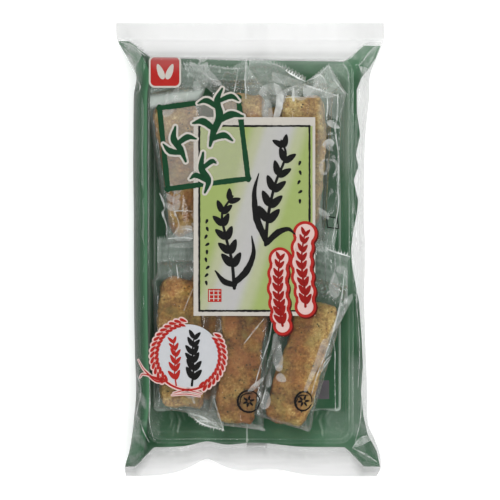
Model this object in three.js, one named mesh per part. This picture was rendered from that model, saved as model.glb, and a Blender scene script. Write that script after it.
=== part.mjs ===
// A sealed pillow pack of rice cracker sticks, lying on its back with the printed side up.
// The film is one tube, welded flat across both ends, and a stiff tray inside holds it open:
// the front is drawn tight over the tray's rim, the back lies flat under the tray's floor, the
// sides bulge between the two, and at each end the film falls from the tray to a flat seal.
// The seals are as wide as the flattened tube, so their corners stand out past the sides as ears.
// The tube is closed along the middle of the back by a fin that is folded over flat, and the pack
// lies on that fin.
//
// Millimetres. +X runs across the pack, +Y from the bottom seal to the top seal, +Z up from the
// surface that it lies on. The origin is on that surface, under the middle of the pack.
import * as THREE from "three";

// ---- driving dimensions ----
const PACK_LENGTH = 265; // from the cut edge of one seal to the other
const SEAL_WIDTH = 156.2; // the tube pressed flat
const EDGE_HEIGHT = 12; // of the line where front and back meet, along the sides and the seals
const WELD = 1.2; // thickness along that line

// the tray's rim, which carries the front, and its floor, which carries the back
const RIM = { halfWidth: 60, top: 110.8, bottom: -112.4, height: 29.4, crown: 1.8 };
const FLOOR = { halfWidth: 56, top: 98, bottom: -100 };

const FIN = { left: -2, right: 10, thick: 0.5, step: 0.3 }; // seen from the front

// each seal: where the weld starts, and how high its cut edge ends
const TOP_SEAL = { line: 122.2, edgeHeight: 10.8, ripple: 0.7 };
const BOTTOM_SEAL = { line: -126.6, edgeHeight: 3.6 };

// The half widths of the pack, from the bottom seal's cut edge to the top seal's: [y, left, right].
const SIDES = [
  [-132.5, 72.4, 74.8],
  [-126.6, 73.2, 76.2],
  [-117.8, 71.2, 74.5],
  [-109, 69.2, 72.4],
  [-101, 68.4, 70],
  [-83, 66.8, 69],
  [-47, 68.2, 67],
  [0, 68.8, 66.8],
  [47, 68.7, 67.2],
  [90, 68.5, 69.6],
  [103, 67, 70.2],
  [122.2, 77.2, 77.9],
  [132.5, SEAL_WIDTH / 2, SEAL_WIDTH / 2],
];

// The bottom seal buckles where the pack has stood on it. Each buckle pulls the cut edge in by
// its depth, and lifts it nearly as much.
const BUCKLES = [
  { x: -25, depth: 8, reach: 12, sharpness: 1.3 },
  { x: 9, depth: 4, reach: 20, sharpness: 2 },
];
const BUCKLE_LIFT = 0.9;
const BUCKLE_AT_WELD = 0.45; // how much of a buckle is left where the weld starts

const CORNER_SOFTNESS = 0.05; // how round the fold is that runs from the tray's corner to an ear

// mesh steps
const ACROSS = { left: 12, fin: 3, right: 10 };
const ROUND_A_SIDE = 8;
const ALONG = { seal: 3, end: 13, body: 30 };

// ---- the pack's form ----

// A smooth line through rows of [y, ...values], read at y in column k.
function through(rows, y, k) {
  const slope = (i) => {
    const a = rows[Math.max(i - 1, 0)];
    const b = rows[Math.min(i + 1, rows.length - 1)];
    return (b[k] - a[k]) / (b[0] - a[0]);
  };
  const last = rows.length - 2;
  const found = rows.findIndex((row, i) => i <= last && y <= rows[i + 1][0]);
  const i = found < 0 ? last : found;
  const step = rows[i + 1][0] - rows[i][0];
  const t = Math.min(Math.max((y - rows[i][0]) / step, 0), 1);
  const start = rows[i][k] * (1 + 2 * t) + step * slope(i) * t;
  const end = rows[i + 1][k] * (3 - 2 * t) - step * slope(i + 1) * (1 - t);
  return start * (1 - t) ** 2 + end * t ** 2;
}

const clamp01 = (t) => Math.min(Math.max(t, 0), 1);

// A quarter of a superellipse: 0 at the edge, 1 once the surface is level. Power 1 is a straight slope.
const rise = (t, power) => (1 - (1 - clamp01(t)) ** power) ** (1 / power);

// The lower of two heights, with the fold between them slightly rounded.
function softLower(a, b) {
  const near = Math.max(CORNER_SOFTNESS - Math.abs(a - b), 0) / CORNER_SOFTNESS;
  return Math.min(a, b) - (near * near * CORNER_SOFTNESS) / 4;
}

// How far the bottom seal's cut edge is pulled in at x.
const buckle = (x) =>
  BUCKLES.reduce(
    (sum, b) => sum + b.depth * Math.exp(-((Math.abs(x - b.x) / b.reach) ** b.sharpness)),
    0,
  );

// Where a point of the flat tube comes to lie along the pack, with the buckles of the bottom seal.
function along(x, y) {
  const flat = BOTTOM_SEAL.line;
  const cut = -PACK_LENGTH / 2;
  if (y >= RIM.bottom) return y;
  const share =
    y > flat
      ? (BUCKLE_AT_WELD * (RIM.bottom - y)) / (RIM.bottom - flat)
      : BUCKLE_AT_WELD + ((1 - BUCKLE_AT_WELD) * (flat - y)) / (flat - cut);
  return y + buckle(x) * share;
}

// The height of the line or weld where front and back meet.
function middle(x, y) {
  const cut = PACK_LENGTH / 2;
  if (y > TOP_SEAL.line) {
    const t = (y - TOP_SEAL.line) / (cut - TOP_SEAL.line);
    const wave = TOP_SEAL.ripple * Math.sin((x / SEAL_WIDTH) * 7 * Math.PI + 0.6);
    return EDGE_HEIGHT + t * (TOP_SEAL.edgeHeight - EDGE_HEIGHT + wave);
  }
  if (y < BOTTOM_SEAL.line) {
    const t = (BOTTOM_SEAL.line - y) / (BOTTOM_SEAL.line + cut);
    const lift = BUCKLE_LIFT * buckle(x);
    return EDGE_HEIGHT + t * (BOTTOM_SEAL.edgeHeight - EDGE_HEIGHT + lift);
  }
  return EDGE_HEIGHT;
}

// How far the film stands from its middle, as a share of its full height over a carrier.
function opening(x, y, half, carrier) {
  const side = rise((half - Math.abs(x)) / (half - carrier.halfWidth), sidePower(y));
  const end =
    y > 0
      ? (TOP_SEAL.line - y) / (TOP_SEAL.line - carrier.top)
      : (y - BOTTOM_SEAL.line) / (carrier.bottom - BOTTOM_SEAL.line);
  return Math.max(softLower(side, rise(end, 1.35)), 0);
}

// The sides are round along the body and flatten into the ears at both ends.
function sidePower(y) {
  const toEnd = y > 0 ? y / TOP_SEAL.line : y / BOTTOM_SEAL.line;
  const t = clamp01((toEnd - 0.78) / 0.2);
  return 2 - 0.9 * t * t * (3 - 2 * t);
}

function front(x, y, half) {
  const crown = RIM.crown * (1 - (x / RIM.halfWidth) ** 2) * (1 - (y / RIM.top) ** 2);
  const height = RIM.height + Math.max(crown, 0) - EDGE_HEIGHT - WELD / 2;
  return middle(x, y) + WELD / 2 + height * opening(x, y, half, RIM);
}

function back(x, y, half) {
  const onFin = clamp01(1 + Math.min(x - FIN.left, FIN.right - x) / FIN.step);
  const depth = EDGE_HEIGHT - WELD / 2 - FIN.thick * (1 - onFin);
  return middle(x, y) - WELD / 2 - depth * opening(x, y, half, FLOOR);
}

// ---- the solid ----

// The ends of the even steps into which each stretch is cut, starting from the first one's start.
function stepsThrough(stretches) {
  const ends = [stretches[0][0]];
  for (const [from, to, steps] of stretches)
    for (let k = 1; k <= steps; k++) ends.push(from + ((to - from) * k) / steps);
  return ends;
}

// The rows of the mesh along the pack, closer together where the film folds.
function rowsAlong() {
  const cut = PACK_LENGTH / 2;
  return stepsThrough([
    [-cut, BOTTOM_SEAL.line, ALONG.seal],
    [BOTTOM_SEAL.line, FLOOR.bottom, ALONG.end],
    [FLOOR.bottom, FLOOR.top, ALONG.body],
    [FLOOR.top, TOP_SEAL.line, ALONG.end],
    [TOP_SEAL.line, cut, ALONG.seal],
  ]);
}

// The columns of the mesh at one row: each side's bulge is stepped by angle, from the edge inwards.
function columnsAt(left, right) {
  const edge = (half, k) =>
    half - (half - FLOOR.halfWidth) * (1 - Math.cos((Math.PI * k) / (2 * ROUND_A_SIDE)));
  const sides = [...Array(ROUND_A_SIDE).keys()];
  const level = stepsThrough([
    [-FLOOR.halfWidth, FIN.left - FIN.step, ACROSS.left],
    [FIN.left - FIN.step, FIN.left, 1],
    [FIN.left, FIN.right, ACROSS.fin],
    [FIN.right, FIN.right + FIN.step, 1],
    [FIN.right + FIN.step, FLOOR.halfWidth, ACROSS.right],
  ]);
  return [
    ...sides.map((k) => [-edge(left, k), left]),
    ...level.map((x) => [x, x < 0 ? left : right]),
    ...sides.reverse().map((k) => [edge(right, k), right]),
  ];
}

function packGeometry() {
  const rows = rowsAlong();
  const width = columnsAt(1, 1).length;
  const points = [];
  for (const surface of [front, back])
    for (const y of rows)
      for (const [x, half] of columnsAt(through(SIDES, y, 1), through(SIDES, y, 2)))
        points.push(x, along(x, y), surface(x, y, half));

  const faces = [];
  const quad = (a, b, c, d) => faces.push(a, b, c, a, c, d);
  const at = (sheet, j, i) => (sheet * rows.length + j) * width + i;
  // Cuts a quad along the diagonal that stands out further (up on the front, down on the back).
  const convexQuad = (a, b, c, d, up) => {
    const z = (k) => up * points[3 * k + 2];
    if (z(a) + z(c) > z(b) + z(d)) quad(a, b, c, d);
    else quad(b, c, d, a);
  };
  for (let j = 0; j < rows.length - 1; j++) {
    for (let i = 0; i < width - 1; i++) {
      convexQuad(at(0, j, i), at(0, j, i + 1), at(0, j + 1, i + 1), at(0, j + 1, i), 1);
      convexQuad(at(1, j, i), at(1, j + 1, i), at(1, j + 1, i + 1), at(1, j, i + 1), -1);
    }
    quad(at(0, j, 0), at(0, j + 1, 0), at(1, j + 1, 0), at(1, j, 0));
    const end = width - 1;
    quad(at(0, j, end), at(1, j, end), at(1, j + 1, end), at(0, j + 1, end));
  }
  for (let i = 0; i < width - 1; i++) {
    quad(at(0, 0, i), at(1, 0, i), at(1, 0, i + 1), at(0, 0, i + 1));
    const last = rows.length - 1;
    quad(at(0, last, i), at(0, last, i + 1), at(1, last, i + 1), at(1, last, i));
  }
  const geometry = new THREE.BufferGeometry();
  geometry.setAttribute("position", new THREE.Float32BufferAttribute(points, 3));
  geometry.setIndex(faces);
  geometry.computeVertexNormals();
  return geometry;
}

const film = new THREE.MeshStandardMaterial({ color: 0x6f8f78, roughness: 0.2, metalness: 0 });
const bag = new THREE.Mesh(packGeometry(), film);
bag.name = "sealed_bag";

const pack = new THREE.Group();
pack.add(bag);
export default pack;
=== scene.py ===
import math
import random

import bmesh
import bpy
import numpy as np
from mathutils import Euler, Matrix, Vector, noise


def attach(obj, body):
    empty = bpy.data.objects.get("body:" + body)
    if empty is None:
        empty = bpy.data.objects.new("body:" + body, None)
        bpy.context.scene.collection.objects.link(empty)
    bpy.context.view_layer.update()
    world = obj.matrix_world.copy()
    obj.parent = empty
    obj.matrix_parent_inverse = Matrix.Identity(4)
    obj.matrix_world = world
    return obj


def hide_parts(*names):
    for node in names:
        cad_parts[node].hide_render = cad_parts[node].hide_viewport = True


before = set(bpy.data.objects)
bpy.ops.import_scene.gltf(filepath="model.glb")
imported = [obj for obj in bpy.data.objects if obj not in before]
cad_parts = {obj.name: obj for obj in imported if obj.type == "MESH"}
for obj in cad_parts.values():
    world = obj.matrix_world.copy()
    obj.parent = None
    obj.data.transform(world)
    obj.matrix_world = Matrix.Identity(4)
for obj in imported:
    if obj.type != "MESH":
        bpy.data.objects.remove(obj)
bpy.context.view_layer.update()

MM = 0.001

# ---------------------------------------------------------------------------------------------
# Bag film. One tube of thin clear polypropylene film, glossy on both sides. It is drawn tight
# over the tray's rim in front, lies flat under the tray's floor behind, bulges a little between
# the two at the sides, and is welded flat across both ends. All lengths here are millimetres.
# ---------------------------------------------------------------------------------------------
PACK_LENGTH = 265.0
EDGE_HEIGHT = 12.0
RIM = dict(half_width=60.0, top=110.8, bottom=-112.4, height=29.4, crown=1.8)
FLOOR = dict(half_width=56.0, top=98.0, bottom=-100.0)
TOP_SEAL = dict(line=122.2, edge_height=10.8, ripple=0.7)
BOTTOM_SEAL = dict(line=-126.6, edge_height=3.6)
FIN = dict(left=-2.0, right=10.0, thick=0.5, step=0.3)
SIDES = np.array([
    (-132.5, 72.6, 74.2), (-126.6, 73.0, 76.2), (-117.8, 70.6, 75.2), (-109, 69.0, 72.0),
    (-101, 68.0, 68.6), (-83, 66.5, 68.3), (-60, 67.2, 67.4), (-28, 67.8, 66.6), (0, 67.9, 67.0), (22, 67.9, 66.4),
    (47, 68.2, 66.6), (66, 68.1, 67.2), (90, 67.8, 69.5), (103, 66.7, 70.2), (122.2, 77.2, 77.9), (132.5, 78.1, 78.1)])
BUCKLES = [dict(x=-25, depth=11.0, reach=14, sharpness=1.4), dict(x=12, depth=4.4, reach=17, sharpness=2)]
SEAL_GAP = 0.12  # between the two films of a weld


def half_width(y, left):
    """How far the pack reaches to one side at y, by a smooth line through SIDES."""
    rows, k = SIDES, 1 if left else 2
    i = np.clip(np.searchsorted(rows[:, 0], y) - 1, 0, len(rows) - 2)
    low, high = np.maximum(i - 1, 0), np.minimum(i + 1, len(rows) - 1)
    slope = lambda a, b: (rows[b, k] - rows[a, k]) / (rows[b, 0] - rows[a, 0])
    step = rows[i + 1, 0] - rows[i, 0]
    t = np.clip((y - rows[i, 0]) / step, 0, 1)
    start = rows[i, k] * (1 + 2 * t) + step * slope(low, high) * t
    end = rows[i + 1, k] * (3 - 2 * t) - step * slope(i, np.minimum(i + 2, len(rows) - 1)) * (1 - t)
    return start * (1 - t) ** 2 + end * t**2


def rise(t, power):
    return (1 - (1 - np.clip(t, 0, 1)) ** power) ** (1 / power)


def soft_lower(a, b, soft=0.05):
    near = np.maximum(soft - abs(a - b), 0) / soft
    return np.minimum(a, b) - near * near * soft / 4


def buckle(x):
    return sum(b["depth"] * np.exp(-((abs(x - b["x"]) / b["reach"]) ** b["sharpness"])) for b in BUCKLES)


def along(x, y):
    """Where a point of the flat tube lies along the pack, with the bottom seal's buckles."""
    flat, cut = BOTTOM_SEAL["line"], -PACK_LENGTH / 2
    slope_share = 0.45 * (RIM["bottom"] - y) / (RIM["bottom"] - flat)
    seal_share = 0.45 + 0.55 * (flat - y) / (flat - cut)
    share = np.where(y >= RIM["bottom"], 0, np.where(y > flat, slope_share, seal_share))
    return y + buckle(x) * share


def middle(x, y):
    cut = PACK_LENGTH / 2
    t = (y - TOP_SEAL["line"]) / (cut - TOP_SEAL["line"])
    wave = TOP_SEAL["ripple"] * np.sin(x / 156.2 * 7 * np.pi + 0.6)
    top = EDGE_HEIGHT + np.clip(t, 0, 1) * (TOP_SEAL["edge_height"] - EDGE_HEIGHT + wave)
    t = (BOTTOM_SEAL["line"] - y) / (BOTTOM_SEAL["line"] + cut)
    bottom = EDGE_HEIGHT + np.clip(t, 0, 1) * (BOTTOM_SEAL["edge_height"] - EDGE_HEIGHT + 0.9 * buckle(x))
    return np.where(y > 0, top, bottom)


def opening(x, y, half, carrier):
    to_end = np.where(y > 0, y / TOP_SEAL["line"], y / BOTTOM_SEAL["line"])
    t = np.clip((to_end - 0.78) / 0.2, 0, 1)
    power = 2 - 0.9 * t * t * (3 - 2 * t)
    side = rise((half - abs(x)) / (half - carrier["half_width"]), power)
    end_top = (TOP_SEAL["line"] - y) / (TOP_SEAL["line"] - carrier["top"])
    end_bottom = (y - BOTTOM_SEAL["line"]) / (carrier["bottom"] - BOTTOM_SEAL["line"])
    end = rise(np.where(y > 0, end_top, end_bottom), 1.35)
    return np.maximum(soft_lower(side, end), 0)


def waves(x, y, length, seed, count=7):
    """Smooth noise of about one unit, with bumps about half of length across."""
    dice = np.random.default_rng(seed)
    total = 0
    for _ in range(count):
        angle, phase, k = dice.uniform(0, np.pi), dice.uniform(0, 2 * np.pi), dice.uniform(0.7, 1.4)
        total = total + np.sin((x * np.cos(angle) + y * np.sin(angle)) * 2 * np.pi * k / length + phase)
    return total / math.sqrt(count)


def crumple(x, y, length, seed):
    """Sharp creases between smooth facets, about length apart, from 0 on a crease to 1."""
    return np.minimum(abs(waves(x, y, length * 2, seed)), 1.2) / 1.2


# Creases of the film, from one point to the other: (x, y, x, y, height, width).
CREASES = [
    (-77, 122, -61, 113, 0.9, 0.9), (-74, 119, -66, 103, -0.7, 0.8), (-76, 121, -70, 108, 0.6, 0.6),
    (77, 121, 63, 108, 1.0, 0.9), (66, 113, 58, 118, 0.5, 1.0), (74, 117, 68, 104, -0.7, 0.8),
    (59, -115, 68, -110, 1.0, 0.8), (68, -110, 74, -112, 0.7, 0.7), (60, -116, 75, -125, 0.9, 0.8),
    (62, -112, 71, -123, -0.6, 0.7), (-60, -115, -72, -125, 0.9, 0.8), (-67, -107, -72, -121, 0.8, 0.7),
    (-63, -110, -69, -100, -0.5, 0.8), (-66, -84, -64, -62, 0.5, 0.9), (66, 40, 62, 12, 0.5, 1.0),
    (67, 82, 63, 52, 0.5, 1.1), (66, -5, 62, -38, 0.6, 1.0), (67, -60, 64, -92, -0.5, 1.0),
]


def creases(x, y):
    total = 0
    for x0, y0, x1, y1, height, width in CREASES:
        dx, dy = x1 - x0, y1 - y0
        t = np.clip(((x - x0) * dx + (y - y0) * dy) / (dx * dx + dy * dy), 0, 1)
        d = np.hypot(x - x0 - t * dx, y - y0 - t * dy)
        total = total + height * np.sin(np.pi * np.clip(t, 0.04, 0.96)) * np.exp(-((d / width) ** 2))
    return total


def wrinkles(x, y, opened):
    """How far the front film stands off its smooth form."""
    over_tray = np.clip(np.minimum((58 - abs(x)) / 8, np.minimum(108 - y, y + 110) / 8), 0, 1)
    slack = 1 - over_tray
    long_sides = np.clip((abs(x) - 58) / 4, 0, 1) * np.clip((112 - abs(y)) / 14, 0, 1) * np.where(x < 0, 0.35, 1)
    ends = np.clip((abs(y) - 104) / 8, 0, 1)
    calm = 0.16 * waves(x, y, 46, 3) + 0.03 * waves(x, y, 13, 5)
    streaks = 0.30 * waves(x, y * 0.03, 6.5, 8) + 0.35 * crumple(x, y * 0.12, 4, 9)
    pulls = 0.42 * waves(x, y * 0.25, 15, 12) + 0.5 * crumple(x, y * 0.5, 9, 13)
    loose = np.clip(opened * 4, 0, 1)
    return (calm + long_sides * streaks + ends * pulls) * loose


def front_z(x, y):
    half = np.where(x < 0, half_width(y, True), half_width(y, False))
    opened = opening(x, y, half, RIM)
    crown = RIM["crown"] * (1 - (x / RIM["half_width"]) ** 2) * (1 - (y / RIM["top"]) ** 2)
    mid = middle(x, y)
    height = RIM["height"] + np.maximum(crown, 0) - mid
    gap = SEAL_GAP / 2 * np.clip(half - abs(x), 0, 1)
    fold = creases(x, y) * np.clip(half - abs(x), 0, 1)
    seal = 0.18 * waves(x, y * 0.3, 12, 31) * (1 - np.clip(opened * 4, 0, 1)) * np.clip(half - abs(x), 0, 1)
    return mid + gap + seal + height * opened + wrinkles(x, y, opened) * (opened > 0) + fold


def back_z(x, y):
    half = np.where(x < 0, half_width(y, True), half_width(y, False))
    opened = opening(x, y, half, FLOOR)
    mid = middle(x, y)
    gap = SEAL_GAP / 2 * np.clip(half - abs(x), 0, 1)
    seal = 0.18 * waves(x, y * 0.3, 12, 31) * (1 - np.clip(opened * 4, 0, 1)) * np.clip(half - abs(x), 0, 1)
    slope = np.clip(opened * 3, 0, 1) * np.clip((1 - opened) * 6, 0, 1)
    loose = slope * (0.35 * waves(x, y * 0.3, 14, 41) + 0.12 * waves(x, y, 6, 42))
    return mid - gap + seal + loose - (mid - FIN["thick"] - 0.1) * opened


def linear(code):
    """An sRGB hex colour as the linear RGBA that shaders take."""
    parts = [int(code[i : i + 2], 16) / 255 for i in (1, 3, 5)]
    return (*[c / 12.92 if c <= 0.04045 else ((c + 0.055) / 1.055) ** 2.4 for c in parts], 1)


def material(name):
    made = bpy.data.materials.new(name)
    made.use_nodes = True
    made.node_tree.nodes.clear()
    return made


def add(made, kind, links=None, **settings):
    """Adds a node. A setting that names an input sets it, and links join inputs to sockets."""
    node = made.node_tree.nodes.new(kind)
    for key, value in settings.items():
        if hasattr(node, key):
            setattr(node, key, value)
        else:
            node.inputs[key.replace("_", " ")].default_value = value
    for key, source in (links or {}).items():
        made.node_tree.links.new(source, node.inputs[key])
    return node


def piece_of_pack(name, mesh, made):
    """Film, print and contents all ride on the one body and stand for the CAD's sealed bag."""
    mesh.polygons.foreach_set("use_smooth", [True] * len(mesh.polygons))
    mesh.materials.append(made)
    piece = bpy.data.objects.new(name, mesh)
    bpy.context.scene.collection.objects.link(piece)
    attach(piece, "root")
    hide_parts("sealed_bag")
    return piece


def mesh_object(name, points_mm, faces, made):
    mesh = bpy.data.meshes.new(name)
    mesh.from_pydata([tuple(p) for p in np.asarray(points_mm) * MM], [], faces)
    mesh.update()
    return piece_of_pack(name, mesh, made)


def grid_faces(rows, columns, start=0, flip=False):
    at = lambda j, i: start + j * columns + i
    quads = [(at(j, i), at(j, i + 1), at(j + 1, i + 1), at(j + 1, i))
             for j in range(rows - 1) for i in range(columns - 1)]
    return [q[::-1] for q in quads] if flip else quads


def clear_plastic(name, face_on, edge_on, gloss, milk, crinkle, cloud_tone, palest=None):
    """See-through sheet: clear straight on, mirror-like at a slant. Its milkiness runs from the
    first to the second share of milk, with the mesh's attribute "milky", which holds the
    sheet's own haze and also painted sheen and highlights. crinkle holds the size of its wrinkles
    across and along in mm, the whiteness of the painted highlights along their creases and their
    depth in mm, which both grow with the attribute "loose". Its cloud runs from cloud_tone to the
    palest tone, if there is one, with the attribute "pale", which paints light and shade into the haze."""
    made = material(name)
    milky = add(made, "ShaderNodeAttribute", attribute_name="milky")
    amount = add(made, "ShaderNodeMapRange", {"Value": milky.outputs["Fac"]}, To_Min=milk[0], To_Max=milk[1])
    across, lengthwise, whiteness, depth = crinkle
    where = add(made, "ShaderNodeTexCoord")
    facets = add(made, "ShaderNodeMapping", {"Vector": where.outputs["Object"]})
    facets.inputs["Scale"].default_value = (1 / (across * MM), 1 / (lengthwise * MM), 1 / (across * MM))
    swell = add(made, "ShaderNodeTexNoise", {"Vector": facets.outputs["Vector"]}, Scale=0.8, Detail=1.6, Distortion=0.6)
    fold = add(made, "ShaderNodeMath", {0: swell.outputs["Fac"]}, operation="PINGPONG")  # 0.5 along a crease
    # a painted highlight along each crease, as white as whiteness
    line = add(made, "ShaderNodeMapRange", {"Value": fold.outputs[0]}, From_Min=0.485, From_Max=0.5, To_Max=whiteness)
    groups = add(made, "ShaderNodeTexNoise", {"Vector": facets.outputs["Vector"]}, Scale=0.45, Detail=1)
    some = add(made, "ShaderNodeMapRange", {"Value": groups.outputs["Fac"]}, From_Min=0.44, From_Max=0.62)
    loose = add(made, "ShaderNodeAttribute", attribute_name="loose")
    shown = add(made, "ShaderNodeMath", {0: line.outputs["Result"], 1: some.outputs["Result"]}, operation="MULTIPLY")
    seen = add(made, "ShaderNodeMath", {0: shown.outputs[0], 1: loose.outputs["Fac"]}, operation="MULTIPLY")
    total = add(made, "ShaderNodeMath", {0: seen.outputs[0], 1: amount.outputs["Result"]}, operation="ADD", use_clamp=True)
    slope = add(made, "ShaderNodeMapRange", {"Value": fold.outputs[0]}, From_Min=0.38, From_Max=0.5)
    dent = add(made, "ShaderNodeBump", {"Height": slope.outputs["Result"], "Strength": loose.outputs["Fac"]},
               Distance=depth * MM)
    normal = {"Normal": dent.outputs["Normal"]}
    facing = add(made, "ShaderNodeLayerWeight", normal, Blend=0.28)
    share = add(made, "ShaderNodeMapRange", {"Value": facing.outputs["Fresnel"]}, To_Min=face_on, To_Max=edge_on)
    see = add(made, "ShaderNodeBsdfTransparent", Color=linear("#ffffff"))
    shine = add(made, "ShaderNodeBsdfGlossy", normal, Color=linear("#ffffff"), Roughness=gloss)
    clear = add(made, "ShaderNodeMixShader", {0: share.outputs["Result"], 1: see.outputs[0], 2: shine.outputs[0]})
    cloud = add(made, "ShaderNodeBsdfDiffuse", Color=linear(cloud_tone))
    # painted light and shade in the haze: the cloud is lighter where the attribute pale is higher
    if palest:
        pale = add(made, "ShaderNodeAttribute", attribute_name="pale")
        toned = add(made, "ShaderNodeMix", {"Factor": pale.outputs["Fac"]}, data_type="RGBA")
        toned.inputs["A"].default_value, toned.inputs["B"].default_value = linear(cloud_tone), linear(palest)
        made.node_tree.links.new(toned.outputs["Result"], cloud.inputs["Color"])
    hazy = add(made, "ShaderNodeMixShader", {0: total.outputs[0], 1: clear.outputs[0], 2: cloud.outputs[0]})
    add(made, "ShaderNodeOutputMaterial", {"Surface": hazy.outputs[0]})
    return made


def set_values(piece, **shares):
    """Stores values from 0 to 1 for the mesh's points, under the names that its material reads."""
    for name, values in shares.items():
        layer = piece.data.attributes.new(name, "FLOAT", "POINT")
        layer.data.foreach_set("value", np.concatenate([np.ravel(v) for v in values]))


# the rows and columns of the film, about a millimetre apart and finer round the sides
film_rows = np.linspace(-PACK_LENGTH / 2, PACK_LENGTH / 2, 266)
ROUND_A_SIDE = 22
film_columns = 112


def film_sheet(surface):
    angle = np.arange(ROUND_A_SIDE) / ROUND_A_SIDE * np.pi / 2
    flat = np.linspace(-FLOOR["half_width"], FLOOR["half_width"], film_columns + 1)
    points = []
    for y in film_rows:
        left, right = half_width(np.array([y]), True)[0], half_width(np.array([y]), False)[0]
        inset = lambda half: half - (half - FLOOR["half_width"]) * (1 - np.cos(angle))
        x = np.concatenate([-inset(left), flat, inset(right)[::-1]])
        yy = np.full_like(x, y)
        points.append(np.stack([x, along(x, yy), surface(x, yy)], 1))
    return np.array(points)


front_sheet, back_sheet = film_sheet(front_z), film_sheet(back_z)
rows, columns = front_sheet.shape[:2]
for edge in (0, -1):  # the two sheets share their points along the sides
    back_sheet[:, edge] = front_sheet[:, edge]
faces = grid_faces(rows, columns) + grid_faces(rows, columns, rows * columns, flip=True)
bag_film = clear_plastic("glossy_clear_film", 0.02, 0.13, 0.07, (0.0, 0.8), (4.5, 60, 0.28, 0.5), "#9a9c9a", "#ffffff")
bag = mesh_object("bag_film", np.concatenate([front_sheet.reshape(-1, 3), back_sheet.reshape(-1, 3)]),
                  faces, bag_film)
PRINT = dict(top=111.2, bottom=-115.5, tilt=1.2, ear_top=9.5, ear_bottom=10.5)  # beyond it the film is bare
RIGHT_EDGE = np.array([  # y, x of the line where the print ends on the right
    (-126, 76.0), (-117, 74.0), (-108, 69.0), (-97, 66.5), (-83, 65.2), (-68, 66.2), (-53, 65.6),
    (-30, 64.0), (-21, 62.2), (-12, 60.5), (0, 59.5), (9, 60.5), (23, 63.0), (29, 63.5), (41, 61.0),
    (49, 63.8), (56, 62.2), (67, 64.7), (82, 62.8), (94, 62.8), (101, 65.5), (106, 69.6),
    (112, 73.5), (122, 77.5)])
x, y = front_sheet[..., 0], front_sheet[..., 1]
bare_right = np.clip((x - np.interp(y, RIGHT_EDGE[:, 0], RIGHT_EDGE[:, 1]) + 1.5) / 2.5, 0, 1) * 0.42


def print_ends(share):
    """Where the print ends at the top and the bottom, at a share of the half width. It runs further
    into each corner of the bag, and follows the bottom seal's buckles."""
    ear = np.clip((abs(share) - np.where(share < 0, 0.805, 0.76)) / 0.115, 0, 1)
    swell = 3.0 * np.exp(-(((share * 70 + 25.5) / 8) ** 2)) + 2.6 * np.exp(-(((share * 70 - 1.5) / 17) ** 2))
    return (PRINT["top"] - PRINT["tilt"] * share + PRINT["ear_top"] * ear,
            PRINT["bottom"] + swell - PRINT["ear_bottom"] * ear)


print_top, print_bottom = print_ends(x / np.where(x < 0, half_width(y, True), half_width(y, False)))
past_top = y - print_top + 1.4 * (abs(x) < 62)  # the film's haze starts a little inside the print
bare_end = np.maximum(np.interp(past_top, [0, 1.1, 2.6, 6, 9], [0, 0.84, 0.72, 0.84, 0.92]),
                      np.interp(print_bottom - y, [-2.6, -1.2, -0.3, 0.7, 4, 9], [0, 0.14, 0.28, 0.52, 0.62, 0.9]))
# Painted light in the film's haze: a thin highlight along the print's top edge, highlights along the creases, sheen
# streaks low and high on the right, mottled sheen on the lower corners, and a faint sheen at the bottom right corner.
print_edge_highlight = np.interp(-past_top, [-0.1, 0, 0.8, 2, 5, 9], [0, 0.3, 0.14, 0.08, 0.05, 0])
crease_highlight = np.clip(abs(creases(x, y)) * 0.4, 0, 0.3)
drawn = np.clip((abs(x) - 59) / 3, 0, 1) * np.clip((PRINT["top"] - y) / 6, 0, 1) * np.clip((y - PRINT["bottom"]) / 6, 0, 1)
bare = np.maximum(bare_right, bare_end)
left_or_right = np.where(x < 0, 0.07, 0.7)
low_right = 0.12 * np.clip((x - 56.5) / 2, 0, 1) * np.clip((-58 - y) / 8, 0, 1) * (y > PRINT["bottom"] + 8)
streaky = np.clip(0.75 + 0.45 * waves(x, y * 0.05, 3.4, 15), 0.2, 1.4)
high_right = 0.1 * streaky * np.clip((x - 50.5) / 3, 0, 1) * np.clip((59 - x) / 2, 0, 1) * np.clip((y - 38) / 14, 0, 1)
high_right = high_right * np.clip((96 - y) / 6, 0, 1)
crumple_sheen = 0.24 * np.clip(1.6 * waves(x, y * 0.7, 8, 36), 0, 1) * np.clip((abs(x) - 59) / 2, 0, 1) * np.clip((-66 - y) / 22, 0, 1)
crumple_sheen = crumple_sheen * (y > print_bottom + 1)
low_corner = 0.055 * np.clip((x - 42) / 5, 0, 1) * np.clip((-90 - y) / 5, 0, 1) * (y > print_bottom + 1)
# Painted light and shade in the film's haze: lighter at the top weld line, darker next to the print's ends, towards the
# sides and on the bare right strip, with faint painted streaks at the bottom end.
pale = np.where(y > 0, np.interp(y, [112.6, 114, 115, 118.5, 121.5, 122.5, 123.5, 132], [0.48, 0.55, 0.69, 0.83, 0.95, 0.82, 0.66, 0.65]),
                np.interp(print_bottom - y, [0.5, 3, 5.3, 7.6, 10, 14], [0.25, 0.31, 0.60, 0.76, 0.91, 0.96]))
pale = pale - 0.1 * np.clip((abs(x + 3) - 52) / 16, 0, 1) - 0.03 * np.clip(-x / 20, 0, 1) * (y > 0)
pale = pale + 0.025 * waves(x * 0.07, y, 3.6, 21) * (y < 0)
pale = np.where(abs(y) > 108, pale, np.where(x > 56, 0.42, 0.69))
set_values(bag, milky=[np.maximum.reduce([bare, crease_highlight, print_edge_highlight, low_right, high_right, crumple_sheen, low_corner, drawn * 0.02]), bare * 0.8],
           loose=[drawn * left_or_right, drawn * 0.3], pale=[pale, pale])
joined = bmesh.new()
joined.from_mesh(bag.data)
bmesh.ops.remove_doubles(joined, verts=joined.verts, dist=1e-7)
joined.to_mesh(bag.data)
joined.free()

# ---------------------------------------------------------------------------------------------
# Green print. One flat field of green ink over the whole back and the left side of the film,
# inside it. It stops short of both welds, and on the right in a wavering line inside the edge.
# ---------------------------------------------------------------------------------------------
INK_INSIDE = 0.12


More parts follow.
